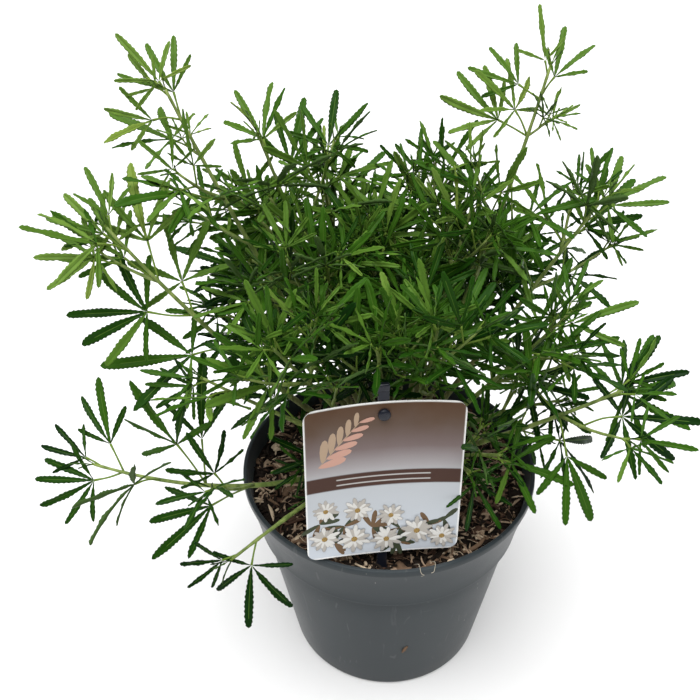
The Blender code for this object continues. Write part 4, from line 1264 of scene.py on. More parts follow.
def new_surface(name, colour, roughness, level=0.5):
    """A surface with constant colour; the callers add its grain."""
    made = bpy.data.materials.new(name)
    made.use_nodes = True
    shader = made.node_tree.nodes["Principled BSDF"]
    shader.inputs["Base Color"].default_value = (*colour, 1)
    shader.inputs["Roughness"].default_value = roughness
    shader.inputs["Specular IOR Level"].default_value = level
    made.diffuse_color = (*colour, 1)
    return made, shader


def feed(made, shader, name, value):
    """Lets another node's output drive one of the shader's inputs."""
    made.node_tree.links.new(value, shader.inputs[name])


def place_node(made):
    return made.node_tree.nodes.new("ShaderNodeTexCoord").outputs["Object"]


def noise_node(made, scale, detail=3, stretch=(1, 1, 1), distortion=0):
    """Noise over the piece's own place in metres, stretched along its axes."""
    nodes, links = nodes_of(made)
    mapping = nodes.new("ShaderNodeMapping")
    mapping.inputs["Scale"].default_value = stretch
    links.new(place_node(made), mapping.inputs["Vector"])
    grain = nodes.new("ShaderNodeTexNoise")
    grain.inputs["Scale"].default_value = scale
    grain.inputs["Detail"].default_value = detail
    grain.inputs["Distortion"].default_value = distortion
    links.new(mapping.outputs["Vector"], grain.inputs["Vector"])
    return grain.outputs["Fac"]


def spread(made, value, low, high, start=0.3, end=0.7):
    """The value moved from its range to the given one."""
    nodes, links = nodes_of(made)
    mapped = nodes.new("ShaderNodeMapRange")
    mapped.inputs["From Min"].default_value = start
    mapped.inputs["From Max"].default_value = end
    mapped.inputs["To Min"].default_value = low
    mapped.inputs["To Max"].default_value = high
    links.new(value, mapped.inputs["Value"])
    return mapped.outputs["Result"]


def mixed(made, share, first, second):
    """A colour between two, each a plain colour or another node's output."""
    nodes, links = nodes_of(made)
    blend = nodes.new("ShaderNodeMix")
    blend.data_type = "RGBA"
    links.new(share, blend.inputs["Factor"])
    for socket, colour in ((blend.inputs["A"], first), (blend.inputs["B"], second)):
        if isinstance(colour, tuple):
            socket.default_value = (*colour, 1)
        else:
            links.new(colour, socket)
    return blend.outputs["Result"]


def bump(made, shader, height, strength, distance):
    nodes, links = nodes_of(made)
    relief = nodes.new("ShaderNodeBump")
    relief.inputs["Strength"].default_value = strength
    relief.inputs["Distance"].default_value = distance
    links.new(height, relief.inputs["Height"])
    links.new(relief.outputs["Normal"], shader.inputs["Normal"])


def leaf_surface(name, colour, roughness, grain=420):
    """A waxy leaf: plain colour, with an uneven gloss and a finely netted relief."""
    made, shader = new_surface(name, colour, roughness, LEAF_SHINE)
    gloss = spread(made, noise_node(made, 230, 2), roughness - 0.07, roughness + 0.09)
    feed(made, shader, "Roughness", gloss)
    bump(made, shader, noise_node(made, grain, 4), 0.35, 0.0004)
    return made


def bark_surface(name, dark, light, roughness):
    """Young bark: two colours in fine lengthwise flecks, and a rough relief."""
    made, shader = new_surface(name, light, roughness, 0.15)
    flecks = spread(made, noise_node(made, 260, 5, (1, 1, 0.25), 0.6), 0, 1, 0.38, 0.62)
    feed(made, shader, "Base Color", mixed(made, flecks, dark, light))
    feed(made, shader, "Roughness", spread(made, flecks, roughness + 0.1, roughness - 0.08, 0, 1))
    bump(made, shader, noise_node(made, 420, 5, (1, 1, 0.3)), 0.6, 0.0006)
    return made


def chip_surface(name, colour, roughness=0.85):
    """Split bark: one colour, with a fibrous relief."""
    made, shader = new_surface(name, colour, roughness, 0.12)
    feed(made, shader, "Roughness", spread(made, noise_node(made, 500, 3), roughness - 0.15, 1))
    bump(made, shader, noise_node(made, 1500, 3, (1, 0.35, 1)), 0.7, 0.0004)
    return made


def soil_surface():
    made, shader = new_surface("wet_soil", SOIL_DARK, 0.9, 0.1)
    clods = spread(made, noise_node(made, 320, 5), 0, 1, 0.4, 0.65)
    feed(made, shader, "Base Color", mixed(made, clods, SOIL_DARK, SOIL_BROWN))
    bump(made, shader, noise_node(made, 600, 5), 0.9, 0.0015)
    return made


def pot_surface():
    """Moulded grey plastic with dust, fine scratches, pale specks and an even fine grain."""
    made, shader = new_surface("grey_plastic", POT_GREY, 0.5, POT_SHINE)
    nodes, links = nodes_of(made)
    shader.inputs["Sheen Weight"].default_value = POT_BLOOM
    shader.inputs["Sheen Roughness"].default_value = 0.4
    dust = spread(made, noise_node(made, 16, 5, (1, 1, 0.6), 0.4), 0, 1, 0.42, 0.72)
    body = mixed(made, dust, POT_GREY, POT_DUSTY)
    scratches = spread(made, noise_node(made, 190, 2, (1, 1, 0.05), 1.2), 0, 0.5, 0.67, 0.73)
    body = mixed(made, scratches, body, POT_SCRATCH)
    rubbed = spread(made, noise_node(made, 120, 2, (0.12, 0.12, 1), 0.8), 0, 0.35, 0.68, 0.75)
    body = mixed(made, rubbed, body, POT_SCRATCH)
    cells = nodes.new("ShaderNodeTexVoronoi")
    cells.inputs["Scale"].default_value = 150
    links.new(place_node(made), cells.inputs["Vector"])
    specks = spread(made, cells.outputs["Distance"], 0.8, 0, 0.035, 0.07)
    chosen = spread(made, noise_node(made, 45, 1), 0, 1, 0.62, 0.66)
    colour = mixed(made, product(made, specks, chosen), body, POT_SPECK)
    feed(made, shader, "Base Color", colour)
    feed(made, shader, "Roughness", spread(made, dust, 0.36, 0.54, 0, 1))
    bump(made, shader, noise_node(made, 1400, 3), 0.14, 0.0004)
    return made


def black_surface():
    made, shader = new_surface("black_plastic", STAKE_BLACK, 0.3, 0.3)
    feed(made, shader, "Roughness", spread(made, noise_node(made, 300, 2), 0.24, 0.42))
    bump(made, shader, noise_node(made, 900, 3), 0.12, 0.0003)
    return made


def card_surface():
    """The card's print: a fading brown ground, a dark band, and a pale field, inside a white edge."""
    made, shader = new_surface("printed_card", CARD_PALE, 0.36, 0.06)
    nodes, links = nodes_of(made)
    split = nodes.new("ShaderNodeSeparateXYZ")
    links.new(nodes.new("ShaderNodeTexCoord").outputs["UV"], split.inputs["Vector"])
    up = split.outputs["Y"]
    across = split.outputs["X"]
    ramp = nodes.new("ShaderNodeValToRGB")
    links.new(up, ramp.inputs["Fac"])
    stops = ramp.color_ramp.elements
    stops[0].position = CARD_FADE[0][0]
    stops[0].color = (*CARD_FADE[0][1], 1)
    stops[1].position = CARD_FADE[-1][0]
    stops[1].color = (*CARD_FADE[-1][1], 1)
    for position, colour in CARD_FADE[1:-1]:
        stops.new(position).color = (*colour, 1)
    ground = ramp.outputs["Color"]
    cloud = spread(made, noise_node(made, 60, 2), 0, CARD_CLOUD, 0.3, 0.7)
    ground = mixed(made, cloud, ground, CARD_PALE)
    band = between(made, up, *BAND_PLACE)
    ground = mixed(made, band, ground, BAND_BROWN)
    for low, high in RULE_PLACES:
        line = product(made, between(made, up, low, high), between(made, across, 0.2, 0.8))
        ground = mixed(made, line, ground, CARD_WHITE)
    rim_across = between(made, across, CARD_EDGE / CARD_WIDTH, 1 - CARD_EDGE / CARD_WIDTH)
    rim_up = between(made, up, CARD_EDGE / CARD_HEIGHT, 1 - CARD_EDGE / CARD_HEIGHT)
    print_area = product(made, rim_across, rim_up)
    feed(made, shader, "Base Color", mixed(made, print_area, CARD_WHITE, ground))
    feed(made, shader, "Roughness", spread(made, noise_node(made, 400, 2), 0.3, 0.42))
    bump(made, shader, noise_node(made, 700, 2), 0.05, 0.0003)
    return made


def between(made, value, low, high, soft=0.004):
    """1 where the value is between low and high, with a soft edge."""
    rising = spread(made, value, 0, 1, low - soft, low + soft)
    falling = spread(made, value, 1, 0, high - soft, high + soft)
    return product(made, rising, falling)


def product(made, first, second):
    nodes, links = nodes_of(made)
    both = nodes.new("ShaderNodeMath")
    both.operation = "MULTIPLY"
    links.new(first, both.inputs[0])
    links.new(second, both.inputs[1])
    return both.outputs["Value"]


# Pot, soil and foot


def lathe(profile, steps):
    """Turns a profile of (radius, height), from the axis at the bottom round to the axis again."""
    angles = np.arange(steps) * 2 * math.pi / steps
    rings = [
        np.stack([radius * np.cos(angles), radius * np.sin(angles), np.full(steps, height)], axis=1)
        for radius, height in profile[1:-1]
    ]
    ends = np.array([(0, 0, profile[0][1]), (0, 0, profile[-1][1])])
    corners = np.concatenate(rings + [ends])
    last = len(rings) * steps
    ring = np.arange(steps)
    faces = np.concatenate(
        [
            ring_faces(len(rings), steps),
            fan_faces(last, ring, False),
            fan_faces(last + 1, ring + last - steps),
        ]
    )
    return corners, faces


def rounded(corner, before, after, radius, steps):
    """Points of a small round on a corner of a profile."""
    corner = np.array(corner)
    first = unit(np.array(before) - corner)
    second = unit(np.array(after) - corner)
    start = corner + first * radius
    end = corner + second * radius
    shares = np.linspace(0, 1, steps)[:, None]
    arc_points = (1 - shares) ** 2 * start + 2 * shares * (1 - shares) * corner + shares**2 * end
    return [tuple(point) for point in arc_points]


def subdivided(first, second, steps):
    return [
        tuple(np.array(first) + (np.array(second) - np.array(first)) * step / steps)
        for step in range(1, steps)
    ]


def make_pot():
    """The pot's shell with a rolled lip, a rounded ledge under the collar and a soft foot."""
    outer = pot_wall(0)
    inner = pot_wall(WALL)
    lip_top = (RIM_RADIUS - WALL / 2, POT_HEIGHT)
    foot_corner = (BASE_RADIUS, 0)
    profile = [(0, FOOT_RECESS)]
    profile += [(BASE_RADIUS * RECESS_SHARES[0], FOOT_RECESS), (BASE_RADIUS * RECESS_SHARES[1], 0)]
    profile += rounded(foot_corner, profile[-1], outer[2], FOOT_ROUND, 7)
    groove_low = (wall_radius(outer[2][1] - GROOVE_RUN, 0), outer[2][1] - GROOVE_RUN)
    groove_top = (outer[2][0] - GROOVE_DEPTH, outer[2][1] - GROOVE_DEPTH)
    under_bead = (outer[1][0] - GROOVE_DEPTH * UNDER_BEAD_SHARE, outer[1][1] - BEAD_RISES[0])
    bead = (outer[1][0] + COLLAR_BEAD, outer[1][1])
    profile += subdivided(profile[-1], groove_low, 6)
    profile += [groove_low]
    profile += rounded(groove_top, groove_low, under_bead, GROOVE_ROUND, 4)
    profile += [under_bead]
    profile += rounded(bead, under_bead, (bead[0], bead[1] + 1), BEAD_ROUND, 4)
    middle_rise, top_rise = BEAD_RISES[1:]
    on_bead = wall_radius(bead[1] + middle_rise, 0) + COLLAR_BEAD * OVER_BEAD_SHARE
    profile += [(on_bead, bead[1] + middle_rise)]
    profile += [(wall_radius(bead[1] + top_rise, 0), bead[1] + top_rise)]
    profile += subdivided(profile[-1], outer[0], 4)
    profile.pop()
    profile += [(RIM_RADIUS + out, POT_HEIGHT - drop) for out, drop in LIP_POINTS]
    lip_out = RIM_RADIUS + LIP_OUT
    profile += rounded((lip_out, POT_HEIGHT), (lip_out, POT_HEIGHT - 1), lip_top, LIP_ROUNDS[0], 5)
    profile += rounded((inner[0][0], POT_HEIGHT), lip_top, (inner[0][0], POT_HEIGHT - 1), LIP_ROUNDS[1], 4)
    profile += [inner[1], inner[2], (wall_radius(FLOOR, WALL), FLOOR), (0, FLOOR)]
    sheaf = Sheaf()
    corners, faces = lathe(profile, POT_LOOK_STEPS)
    height = corners[:, 2]
    angle = np.arctan2(corners[:, 1], corners[:, 0])
    bulge = POT_WAVER * (np.sin(2 * angle + 0.6) + 0.5 * np.sin(3 * angle + 2)) * height / POT_HEIGHT
    radius = np.hypot(corners[:, 0], corners[:, 1])
    safe = np.where(radius > 0, radius, 1)
    corners[:, :2] *= (1 + bulge / safe)[:, None]
    sheaf.add(corners, faces, 0)
    return sheaf.build("pot_shell", [pot_surface()], ["pot"])


def soil_height(x, y):
    """The soil's top, mounded in the middle, lower at the wall and lumpy all over."""
    radius = math.hypot(x, y)
    share = min(radius / SOIL_EDGE_RADIUS, 1)
    lumps = sum(noise.noise((x * pitch, y * pitch, layer)) * rise for pitch, layer, rise in SOIL_LUMPS)
    return SOIL_TOP + SOIL_MOUND * (1 - share**2) + lumps * (1 - LUMP_FADE * share) - SOIL_SINK


def make_soil():
    """The soil as one body, with its lumpy top."""
    sheaf = Sheaf()
    low = FLOOR + GAP
    inset = WALL + GAP
    sides = pot_wall(inset)
    profile = [(0, low), (wall_radius(low, inset), low), sides[2], sides[1]]
    for ring in range(SOIL_RINGS + 1):
        share = 1 - ring / SOIL_RINGS
        profile.append((max(SOIL_EDGE_RADIUS * share, 0), SOIL_TOP))
    corners, faces = lathe(profile, SOIL_LOOK_STEPS)
    top = corners[:, 2] > SOIL_TOP - TOP_DEPTH
    for index in np.nonzero(top)[0]:
        corners[index, 2] = soil_height(corners[index, 0], corners[index, 1])
    sheaf.add(corners, faces, 0)
    sheaf.build("soil_bed", [soil_surface()], ["soil"])


def chip(draw, middle, heading, up, length, width, depth):
    """A split sliver of bark, four-sided, with ragged ends."""
    side = unit(np.cross(heading, up))
    rings = []
    bend = draw.uniform(-CHIP_BEND, CHIP_BEND)
    for place in CHIP_PLACES:
        taper = 1 - CHIP_TAPER * abs(place) ** CHIP_POWER * draw.uniform(*CHIP_TAPER_PLAY)
        half = width / 2 * max(taper, CHIP_END)
        centre = middle + heading * length / 2 * place + side * bend * length * place**2
        for across, lift in ((-1, -1), (1, -1), (1, 1), (-1, 1)):
            jitter = 1 + draw.uniform(-CHIP_JITTER, CHIP_JITTER)
            rings.append(centre + side * across * half * jitter + up * lift * depth / 2 * jitter * taper)
    corners = np.array(rings + [rings[0] * 0.5 + rings[2] * 0.5, rings[-4] * 0.5 + rings[-2] * 0.5])
    ring = np.arange(4)
    faces = np.concatenate([ring_faces(5, 4), fan_faces(20, ring, False), fan_faces(21, ring + 16)])
    return corners, faces[:, ::-1]


def behind_card(corners):
    """True where a chip would reach up to the card or stand in its stake."""
    local = (corners - CARD_ORIGIN) @ CARD_AXES
    at_card = local[:, 2] > -CARD_MARGIN
    behind = (local[:, 1] > STAKE_RUN[0]) & (local[:, 1] < STAKE_RUN[1])
    at_stake = (abs(local[:, 0]) < STAKE_WIDTH / 2 + STAKE_MARGIN) & behind
    return bool((at_card | at_stake).any())


def make_mulch():
    """Slivers, flakes and fibres of bark, strewn over the soil."""
    draw = random.Random("mulch")
    sheaf = Sheaf()
    for count, lengths, widths, depths, tilt in CHIP_KINDS:
        for _ in range(count):
            radius = SOIL_EDGE_RADIUS * math.sqrt(draw.random()) * CHIP_FIELD
            angle = draw.uniform(0, 2 * math.pi)
            length = draw.uniform(*lengths)
            radius = min(radius, SOIL_EDGE_RADIUS - length * CHIP_INSET)
            x = radius * math.cos(angle)
            y = radius * math.sin(angle)
            if math.hypot(x, y) < FOOT_OUTLINE[0][1] + FOOT_MARGIN:
                continue
            turn = draw.uniform(0, 2 * math.pi)
            lift = draw.gauss(0, tilt)
            heading = unit(np.array((math.cos(turn), math.sin(turn), lift)))
            lean = np.array((draw.gauss(0, CHIP_LEAN), draw.gauss(0, CHIP_LEAN), 1))
            up = unit(lean - heading * (lean @ heading))
            width = draw.uniform(*widths)
            depth = draw.uniform(*depths)
            height = soil_height(x, y) + depth * CHIP_BASE + abs(lift) * length * CHIP_PROP
            height += draw.uniform(0, CHIP_RISE)
            place = np.array((x, y, height))
            corners, faces = chip(draw, place, heading, up, length, width, depth)
            if (np.hypot(corners[:, 0], corners[:, 1]) > CHIP_LIMIT).any():
                continue
            sheaf.add(corners, faces, draw.choices(range(len(CHIP_COLOURS)), CHIP_SHARES)[0])
    for _ in range(HEAP_CHIPS):
        x = HEAP_PLACE[0] + draw.gauss(0, HEAP_SPREAD) * HEAP_REACH
        y = HEAP_PLACE[1] + abs(draw.gauss(0, HEAP_SPREAD)) * HEAP_REACH
        away = math.hypot(x - HEAP_PLACE[0], y - HEAP_PLACE[1]) / HEAP_REACH
        height = soil_height(x, y) + HEAP_RISE * max(1 - away, 0) * draw.random()
        turn = draw.uniform(0, 2 * math.pi)
        heading = unit(np.array((math.cos(turn), math.sin(turn), draw.gauss(0, HEAP_TILT))))
        up = unit(np.array((0, 0, 1)) - heading * heading[2])
        length = draw.uniform(*HEAP_LENGTHS)
        place = np.array((x, y, height))
        corners, faces = chip(draw, place, heading, up, length, HEAP_WIDTH, HEAP_DEPTH)
        inside = (np.hypot(corners[:, 0], corners[:, 1]) < CHIP_LIMIT).all()
        if inside and not behind_card(corners):
            sheaf.add(corners, faces, draw.choices(range(len(CHIP_COLOURS)), CHIP_SHARES)[0])
    for _ in range(FIBRES):
        radius = SOIL_EDGE_RADIUS * math.sqrt(draw.random()) * FIBRE_FIELD
        angle = draw.uniform(0, 2 * math.pi)
        turn = draw.uniform(0, 2 * math.pi)
        point = np.array((radius * math.cos(angle), radius * math.sin(angle), 0))
        points = []
        for _ in range(FIBRE_POINTS):
            point[2] = soil_height(point[0], point[1]) + draw.uniform(*FIBRE_RISES)
            points.append(point.copy())
            turn += draw.uniform(-FIBRE_TURN, FIBRE_TURN)
            point[:2] += np.array((math.cos(turn), math.sin(turn))) * draw.uniform(*FIBRE_STEPS)
        if max(np.hypot(*one[:2]) for one in points) > FIBRE_LIMIT:
            continue
        path = smooth_path(points, 2)
        corners, faces = tube(path, np.full(len(path), draw.uniform(*FIBRE_RADII)), 4)
        sheaf.add(corners, faces, draw.choice((0, 1, 4)))
    surfaces = [chip_surface(f"bark_chip_{index}", colour) for index, colour in enumerate(CHIP_COLOURS)]
    sheaf.build("bark_mulch", surfaces, [])


def hang_fibres():
    """Two pale fibres that hang over the rim, and a chip of bark that is stuck on the pot."""
    sheaf = Sheaf()
    draw = random.Random("strays")
    for azimuth, reach, length in RIM_FIBRES:
        out = np.array(level_out(azimuth))
        side = np.array((-out[1], out[0], 0))
        points = [out * (RIM_RADIUS - HANG_ROOT[0]) + np.array((0, 0, SOIL_TOP + HANG_ROOT[1]))]
        for beyond, aside, reach_share, fall, length_share in HANG_POINTS:
            height = POT_HEIGHT + HANG_LIFT - fall - length * length_share
            away = out * (RIM_RADIUS + beyond) + side * (aside + reach * reach_share)
            points.append(away + np.array((0, 0, height)))
        path = smooth_path(points, 5)
        corners, faces = tube(path, np.linspace(*HANG_RADII, len(path)), 5)
        sheaf.add(corners, faces, 0)
    out = np.array(level_out(STUCK_CHIP_AZIMUTH))
    radius = wall_radius(STUCK_CHIP_HEIGHT, 0)
    middle = out * (radius + STUCK_CHIP_LIFT) + np.array((0, 0, STUCK_CHIP_HEIGHT))
    heading = unit(np.array((-out[1] * 0.5, out[0] * 0.5, STUCK_CHIP_SLOPE)))
    corners, faces = chip(draw, middle, heading, out, *STUCK_CHIP_SIZE)
    sheaf.add(corners, faces, 1)
    surfaces = [chip_surface("pale_fibre", FIBRE_PALE, 0.6), chip_surface("stuck_chip", CHIP_COLOURS[1])]
    sheaf.build("strays_on_pot", surfaces, [])


def bark_relief(angle, share, phase):
    """The factor by which the bark swells or sinks at an angle and a share of a bough."""
    across, up = math.cos(angle), math.sin(angle)
    depth, round_pitch, long_pitch = BROAD_BARK
    swell = 1 + depth * noise.noise((across * round_pitch + phase, up * round_pitch, share * long_pitch))
    depth, round_pitch, long_pitch = FINE_BARK
    return swell + depth * noise.noise((across * round_pitch, up * round_pitch + phase, share * long_pitch))


def make_limbs(limbs):
    """The foot and the boughs, with ridged bark, scars and small knots."""
    sheaf = Sheaf()
    ground = SOIL_TOP + SOIL_MOUND
    profile = [(0, ground - FOOT_SINK), (FOOT_OUTLINE[0][1] * FOOT_FLARE, ground - FOOT_SINK)]
    for step in range(FOOT_RINGS + 1):
        share = step / FOOT_RINGS
        profile.append((foot_radius(share), ground + GAP + FOOT_HEIGHT * share))
    profile.append((0, ground + GAP + FOOT_HEIGHT))
    corners, faces = lathe(profile, FOOT_LOOK_STEPS)
    for corner in corners:
        radius = math.hypot(corner[0], corner[1])
        if radius < NEAR_AXIS:
            continue
        angle = math.atan2(corner[1], corner[0])
        height = corner[2] - ground
        ribs = sum(depth * math.sin(count * angle + height * pitch) for depth, count, pitch in FOOT_RIBS)
        flakes = FLAKE_DEPTH * noise.noise((angle * 3, height * FLAKE_PITCH, 2.5))
        corner[:2] *= FOOT_FILL + ribs * FOOT_RIB_SHARE + flakes
    sheaf.add(corners, faces, 0)
    for name, shoot in limbs.items():
        draw = random.Random(f"{name} bark")
        points = path_points(shoot, 0, shoot.bare + BOUGH_LAP, 4 * BOUGH_STEPS)
        points[0] = points[0] - (points[1] - points[0]) * BOUGH_ROOT
        path = smooth_path(points, 2)
        shares = np.linspace(0, 1, len(path))
        wide = BOUGH_LOOK_RADIUS * COLLAR_SWELL
        radii = np.interp(shares, (0, COLLAR_RUN, 1), (wide, BOUGH_LOOK_RADIUS, GREEN_RADIUS))
        for scar in SCAR_PLACES:
            away = shares - scar - draw.uniform(-SCAR_PLAY, SCAR_PLAY)
            radii *= 1 + SCAR_SWELL * np.exp(-((away / SCAR_REACH) ** 2))
        phase = draw.uniform(0, 10)
        angles = np.arange(BOUGH_SIDES) * 2 * math.pi / BOUGH_SIDES
        relief = np.array([[bark_relief(angle, share, phase) for angle in angles] for share in shares])
        corners, faces = tube(path, radii, BOUGH_SIDES, relief)
        sheaf.add(corners, faces, 1)
    nodes = ["foot"] + ["bough_" + name for name in limbs]
    sheaf.build("limbs", [WOOD_BARK, YOUNG_BARK], nodes)


# Label


def on_card(across, up, lift):
    """The place of a point of the print: across and up the card, and lifted off its front."""
    local = Vector((across, card_bend(across, up) - CARD_THICKNESS / 2 - lift, up))
    return np.array(card_frame() @ local)


def card_limit(across):
    """The lowest and highest point of the card at a place across it, with its round corners."""
    over = max(abs(across) - (CARD_WIDTH / 2 - CARD_CORNER), 0)
    cut = CARD_CORNER - math.sqrt(max(CARD_CORNER**2 - over**2, 0))
    return cut, CARD_HEIGHT - cut


def make_card():
    """The bent card: a printed front, a plain back and a white edge between them."""
    half = CARD_WIDTH / 2
    turn = np.linspace(-math.pi / 2, math.pi / 2, 2 * CARD_CORNER_STEPS + 1)
    left = -half + CARD_CORNER * (1 - np.cos(turn[CARD_CORNER_STEPS:]))
    places = np.concatenate([left[:-1], np.linspace(left[-1], -left[-1], CARD_COLUMNS), -left[::-1][1:]])
    rows = np.linspace(0, 1, CARD_ROWS)
    corners = []
    uvs = []
    for side in (-1, 1):
        for across in places:
            low, high = card_limit(across)
            for row in rows:
                up = low + (high - low) * row
                corners.append(on_card(across, up, 0 if side < 0 else -CARD_THICKNESS))
                uvs.append((across / CARD_WIDTH + 0.5, up / CARD_HEIGHT))
    faces = []
    kinds = []
    columns = len(places)
    back = columns * CARD_ROWS
    for column in range(columns - 1):
        for row in range(CARD_ROWS - 1):
            a = column * CARD_ROWS + row
            b = a + CARD_ROWS
            faces.append((a, b, b + 1, a + 1))
            kinds.append(0)
            faces.append((back + a, back + a + 1, back + b + 1, back + b))
            kinds.append(1)
        for row, order in ((0, 1), (CARD_ROWS - 1, -1)):
            a = column * CARD_ROWS + row
            b = a + CARD_ROWS
            faces.append((a, back + a, back + b, b)[::order])
            kinds.append(2)
    for column, order in ((0, -1), (columns - 1, 1)):
        for row in range(CARD_ROWS - 1):
            a = column * CARD_ROWS + row
            faces.append((a, back + a, back + a + 1, a + 1)[::order])
            kinds.append(2)
    mesh = bpy.data.meshes.new("label_print")
    mesh.from_pydata(corners, [], faces)
    for surface in (card_surface(), CARD_BACK, CARD_RIM):
        mesh.materials.append(surface)
    mesh.polygons.foreach_set("material_index", np.array(kinds, dtype=np.int32))
    layer = mesh.uv_layers.new(name="card")
    for loop in mesh.loops:
        layer.data[loop.index].uv = uvs[loop.vertex_index]
    mesh.shade_smooth()
    mesh.set_sharp_from_angle(angle=CARD_SHARP)
    piece("label_print", mesh, ["label_card"])


def petal(across, up, angle, length, width, lift, crown):
    """A flat petal on the card with a slightly raised middle."""
    ring = []
    for step in range(PETAL_STEPS):
        turn = 2 * math.pi * step / PETAL_STEPS
        forward = length * (0.5 - 0.5 * math.cos(turn))
        aside = width / 2 * math.sin(turn) * (PETAL_HEEL + 0.5 * forward / length)
        ring.append((forward, aside))
    points = [(length * PETAL_CREST, 0, lift + crown)]
    points += [(forward, aside, lift) for forward, aside in ring]
    corners = []
    for forward, aside, height in points:
        x = across + forward * math.cos(angle) - aside * math.sin(angle)
        y = up + forward * math.sin(angle) + aside * math.cos(angle)
        corners.append(on_card(x, y, height))
    return np.array(corners), fan_faces(0, np.arange(1, PETAL_STEPS + 1))


def daisy(draw, sheaf, across, up, size, lift):
    """A daisy of two rows of slim petals round a domed middle."""
    turn = draw.uniform(0, 2 * math.pi)
    for row, (reach, width, shades) in enumerate(DAISY_ROWS):
        for which in range(DAISY_PETALS):
            angle = turn + 2 * math.pi * (which + row / 2) / DAISY_PETALS
            angle += draw.uniform(-DAISY_PLAY, DAISY_PLAY)
            length = size * reach * draw.uniform(*DAISY_LENGTHS)
            height = lift + DAISY_ROW_RISE * row
            broad = size * (width + SHADE_WIDER)
            sheaf.add(*petal(across, up, angle, length * SHADE_LONGER, broad, height, 0), 5)
            shape = petal(across, up, angle, length, size * width, height + PRINT_LIFT, PETAL_CROWN)
            sheaf.add(*shape, draw.choice(shades))
    for which in range(2 * DAISY_PETALS):
        angle = 2 * math.pi * which / (2 * DAISY_PETALS)
        long, wide = (size * share for share in DAISY_EYE)
        shape = petal(across, up, angle, long, wide, lift + DAISY_EYE_LIFT, DAISY_EYE_CROWN)
        sheaf.add(*shape, 2 if which % 3 else 4)


def make_card_flowers():
    """Plain round daisies and narrow leaves in two staggered rows, with a sprig at the top."""
    draw = random.Random("daisies")
    sheaf = Sheaf()
    for across, up, count in PRINT_LEAVES:
        for _ in range(count):
            angle = draw.uniform(0, 2 * math.pi)
            length = draw.uniform(*PRINT_LEAF_LENGTHS)
            shape = petal(across, up, angle, length, PRINT_LEAF_WIDTH, PRINT_LIFT, PRINT_LIFT)
            sheaf.add(*shape, draw.choice((3, 3, 4)))
    for index, (across, up, size) in enumerate(DAISIES):
        daisy(draw, sheaf, across, up, size, DAISY_LIFT + DAISY_STEP * index)
    first = np.array(SPRIG_PRINT_FROM)
    run = np.array(SPRIG_PRINT_TO) - first
    lean = math.atan2(run[1], run[0])
    stem = petal(*first, lean, np.hypot(*run), SPRIG_PRINT_STEM, PRINT_LIFT, 0)
    sheaf.add(*stem, 7)
    for place in range(SPRIG_PRINT_LEAVES):
        share = (place + 0.5) / SPRIG_PRINT_LEAVES
        across, up = first + run * share
        angle = lean + (SPRIG_PRINT_ANGLE if place % 2 else -SPRIG_PRINT_ANGLE)
        length = SPRIG_PRINT_LENGTH * (1 - 0.5 * share)
        lift = SPRIG_PRINT_LIFT + PRINT_LIFT * place
        width = length * SPRIG_PRINT_BREADTH
        sheaf.add(*petal(across, up, angle, length, width, lift, SPRIG_PRINT_CROWN), 6 + place % 2)
    surfaces = [print_surface(name, colour) for name, colour in PRINT_COLOURS]
    sheaf.build("label_flowers", surfaces, ["label_card"])


def print_surface(name, colour):
    made, shader = new_surface(name, colour, 0.45, 0.12)
    feed(made, shader, "Roughness", spread(made, noise_node(made, 500, 2), 0.34, 0.48))
    return made


def rounded_box(width, depth, height, radius, segments):
    mesh = bpy.data.meshes.new("rounded_box")
    shape = bmesh.new()
    bmesh.ops.create_cube(shape, size=1, matrix=Matrix.Diagonal((width, depth, height, 1)))
    bmesh.ops.bevel(
        shape, geom=shape.edges[:], offset=radius, segments=segments, affect="EDGES", profile=0.5
    )
    bmesh.ops.triangulate(shape, faces=shape.faces)
    shape.to_mesh(mesh)
    shape.free()
    corners = np.array([tuple(vertex.co) for vertex in mesh.vertices])
    faces = np.array([tuple(face.vertices) for face in mesh.polygons])
    bpy.data.meshes.remove(mesh)
    return corners, faces


def make_stake():
    """The black stake behind the card, its head, and the domed button in front."""
    sheaf = Sheaf()
    back = CARD_THICKNESS / 2 + GAP + STAKE_THICKNESS / 2
    top = CARD_HEIGHT + STAKE_RISE
    length = top + STAKE_DEPTH

    def add(corners, faces, offset):
        world = [np.array(card_frame() @ (Vector(corner) + Vector(offset))) for corner in corners]
        sheaf.add(world, faces, 0)

    blade = rounded_box(STAKE_WIDTH, STAKE_THICKNESS, length, STAKE_ROUND, 3)
    add(*blade, (0, back, (top - STAKE_DEPTH) / 2))
    thick = STAKE_THICKNESS + STAKE_RIB_RISE
    ribs = rounded_box(STAKE_RIB_WIDTH, thick, length - STAKE_RIB_SHORT, STAKE_RIB_ROUND, 2)
    add(*ribs, (0, back + STAKE_RIB_BACK, (top - STAKE_DEPTH) / 2))
    wide, thick = STAKE_WIDTH + HEAD_WIDER, STAKE_THICKNESS + HEAD_THICKER
    head = rounded_box(wide, thick, HEAD_HEIGHT, HEAD_ROUND, 4)
    add(*head, (0, back, top - HEAD_HEIGHT / 2))
    profile = [(0, 0), (CARD_HOLE_RADIUS, 0), (CARD_HOLE_RADIUS, back), (BUTTON_RADIUS, back)]
    front = back + BUTTON_THICKNESS + CARD_THICKNESS
    profile += [(BUTTON_RADIUS * share, front + rise) for share, rise in BUTTON_POINTS]
    corners, faces = lathe(profile, 24)
    lean = Matrix.Rotation(math.radians(90), 3, "X")
    corners = [lean @ Vector(corner) for corner in corners]
    add(corners, faces, (0, back, CARD_HEIGHT - CARD_HOLE_DROP))
    sheaf.build("stake_and_button", [black_surface()], ["label_stake"])


# Stage


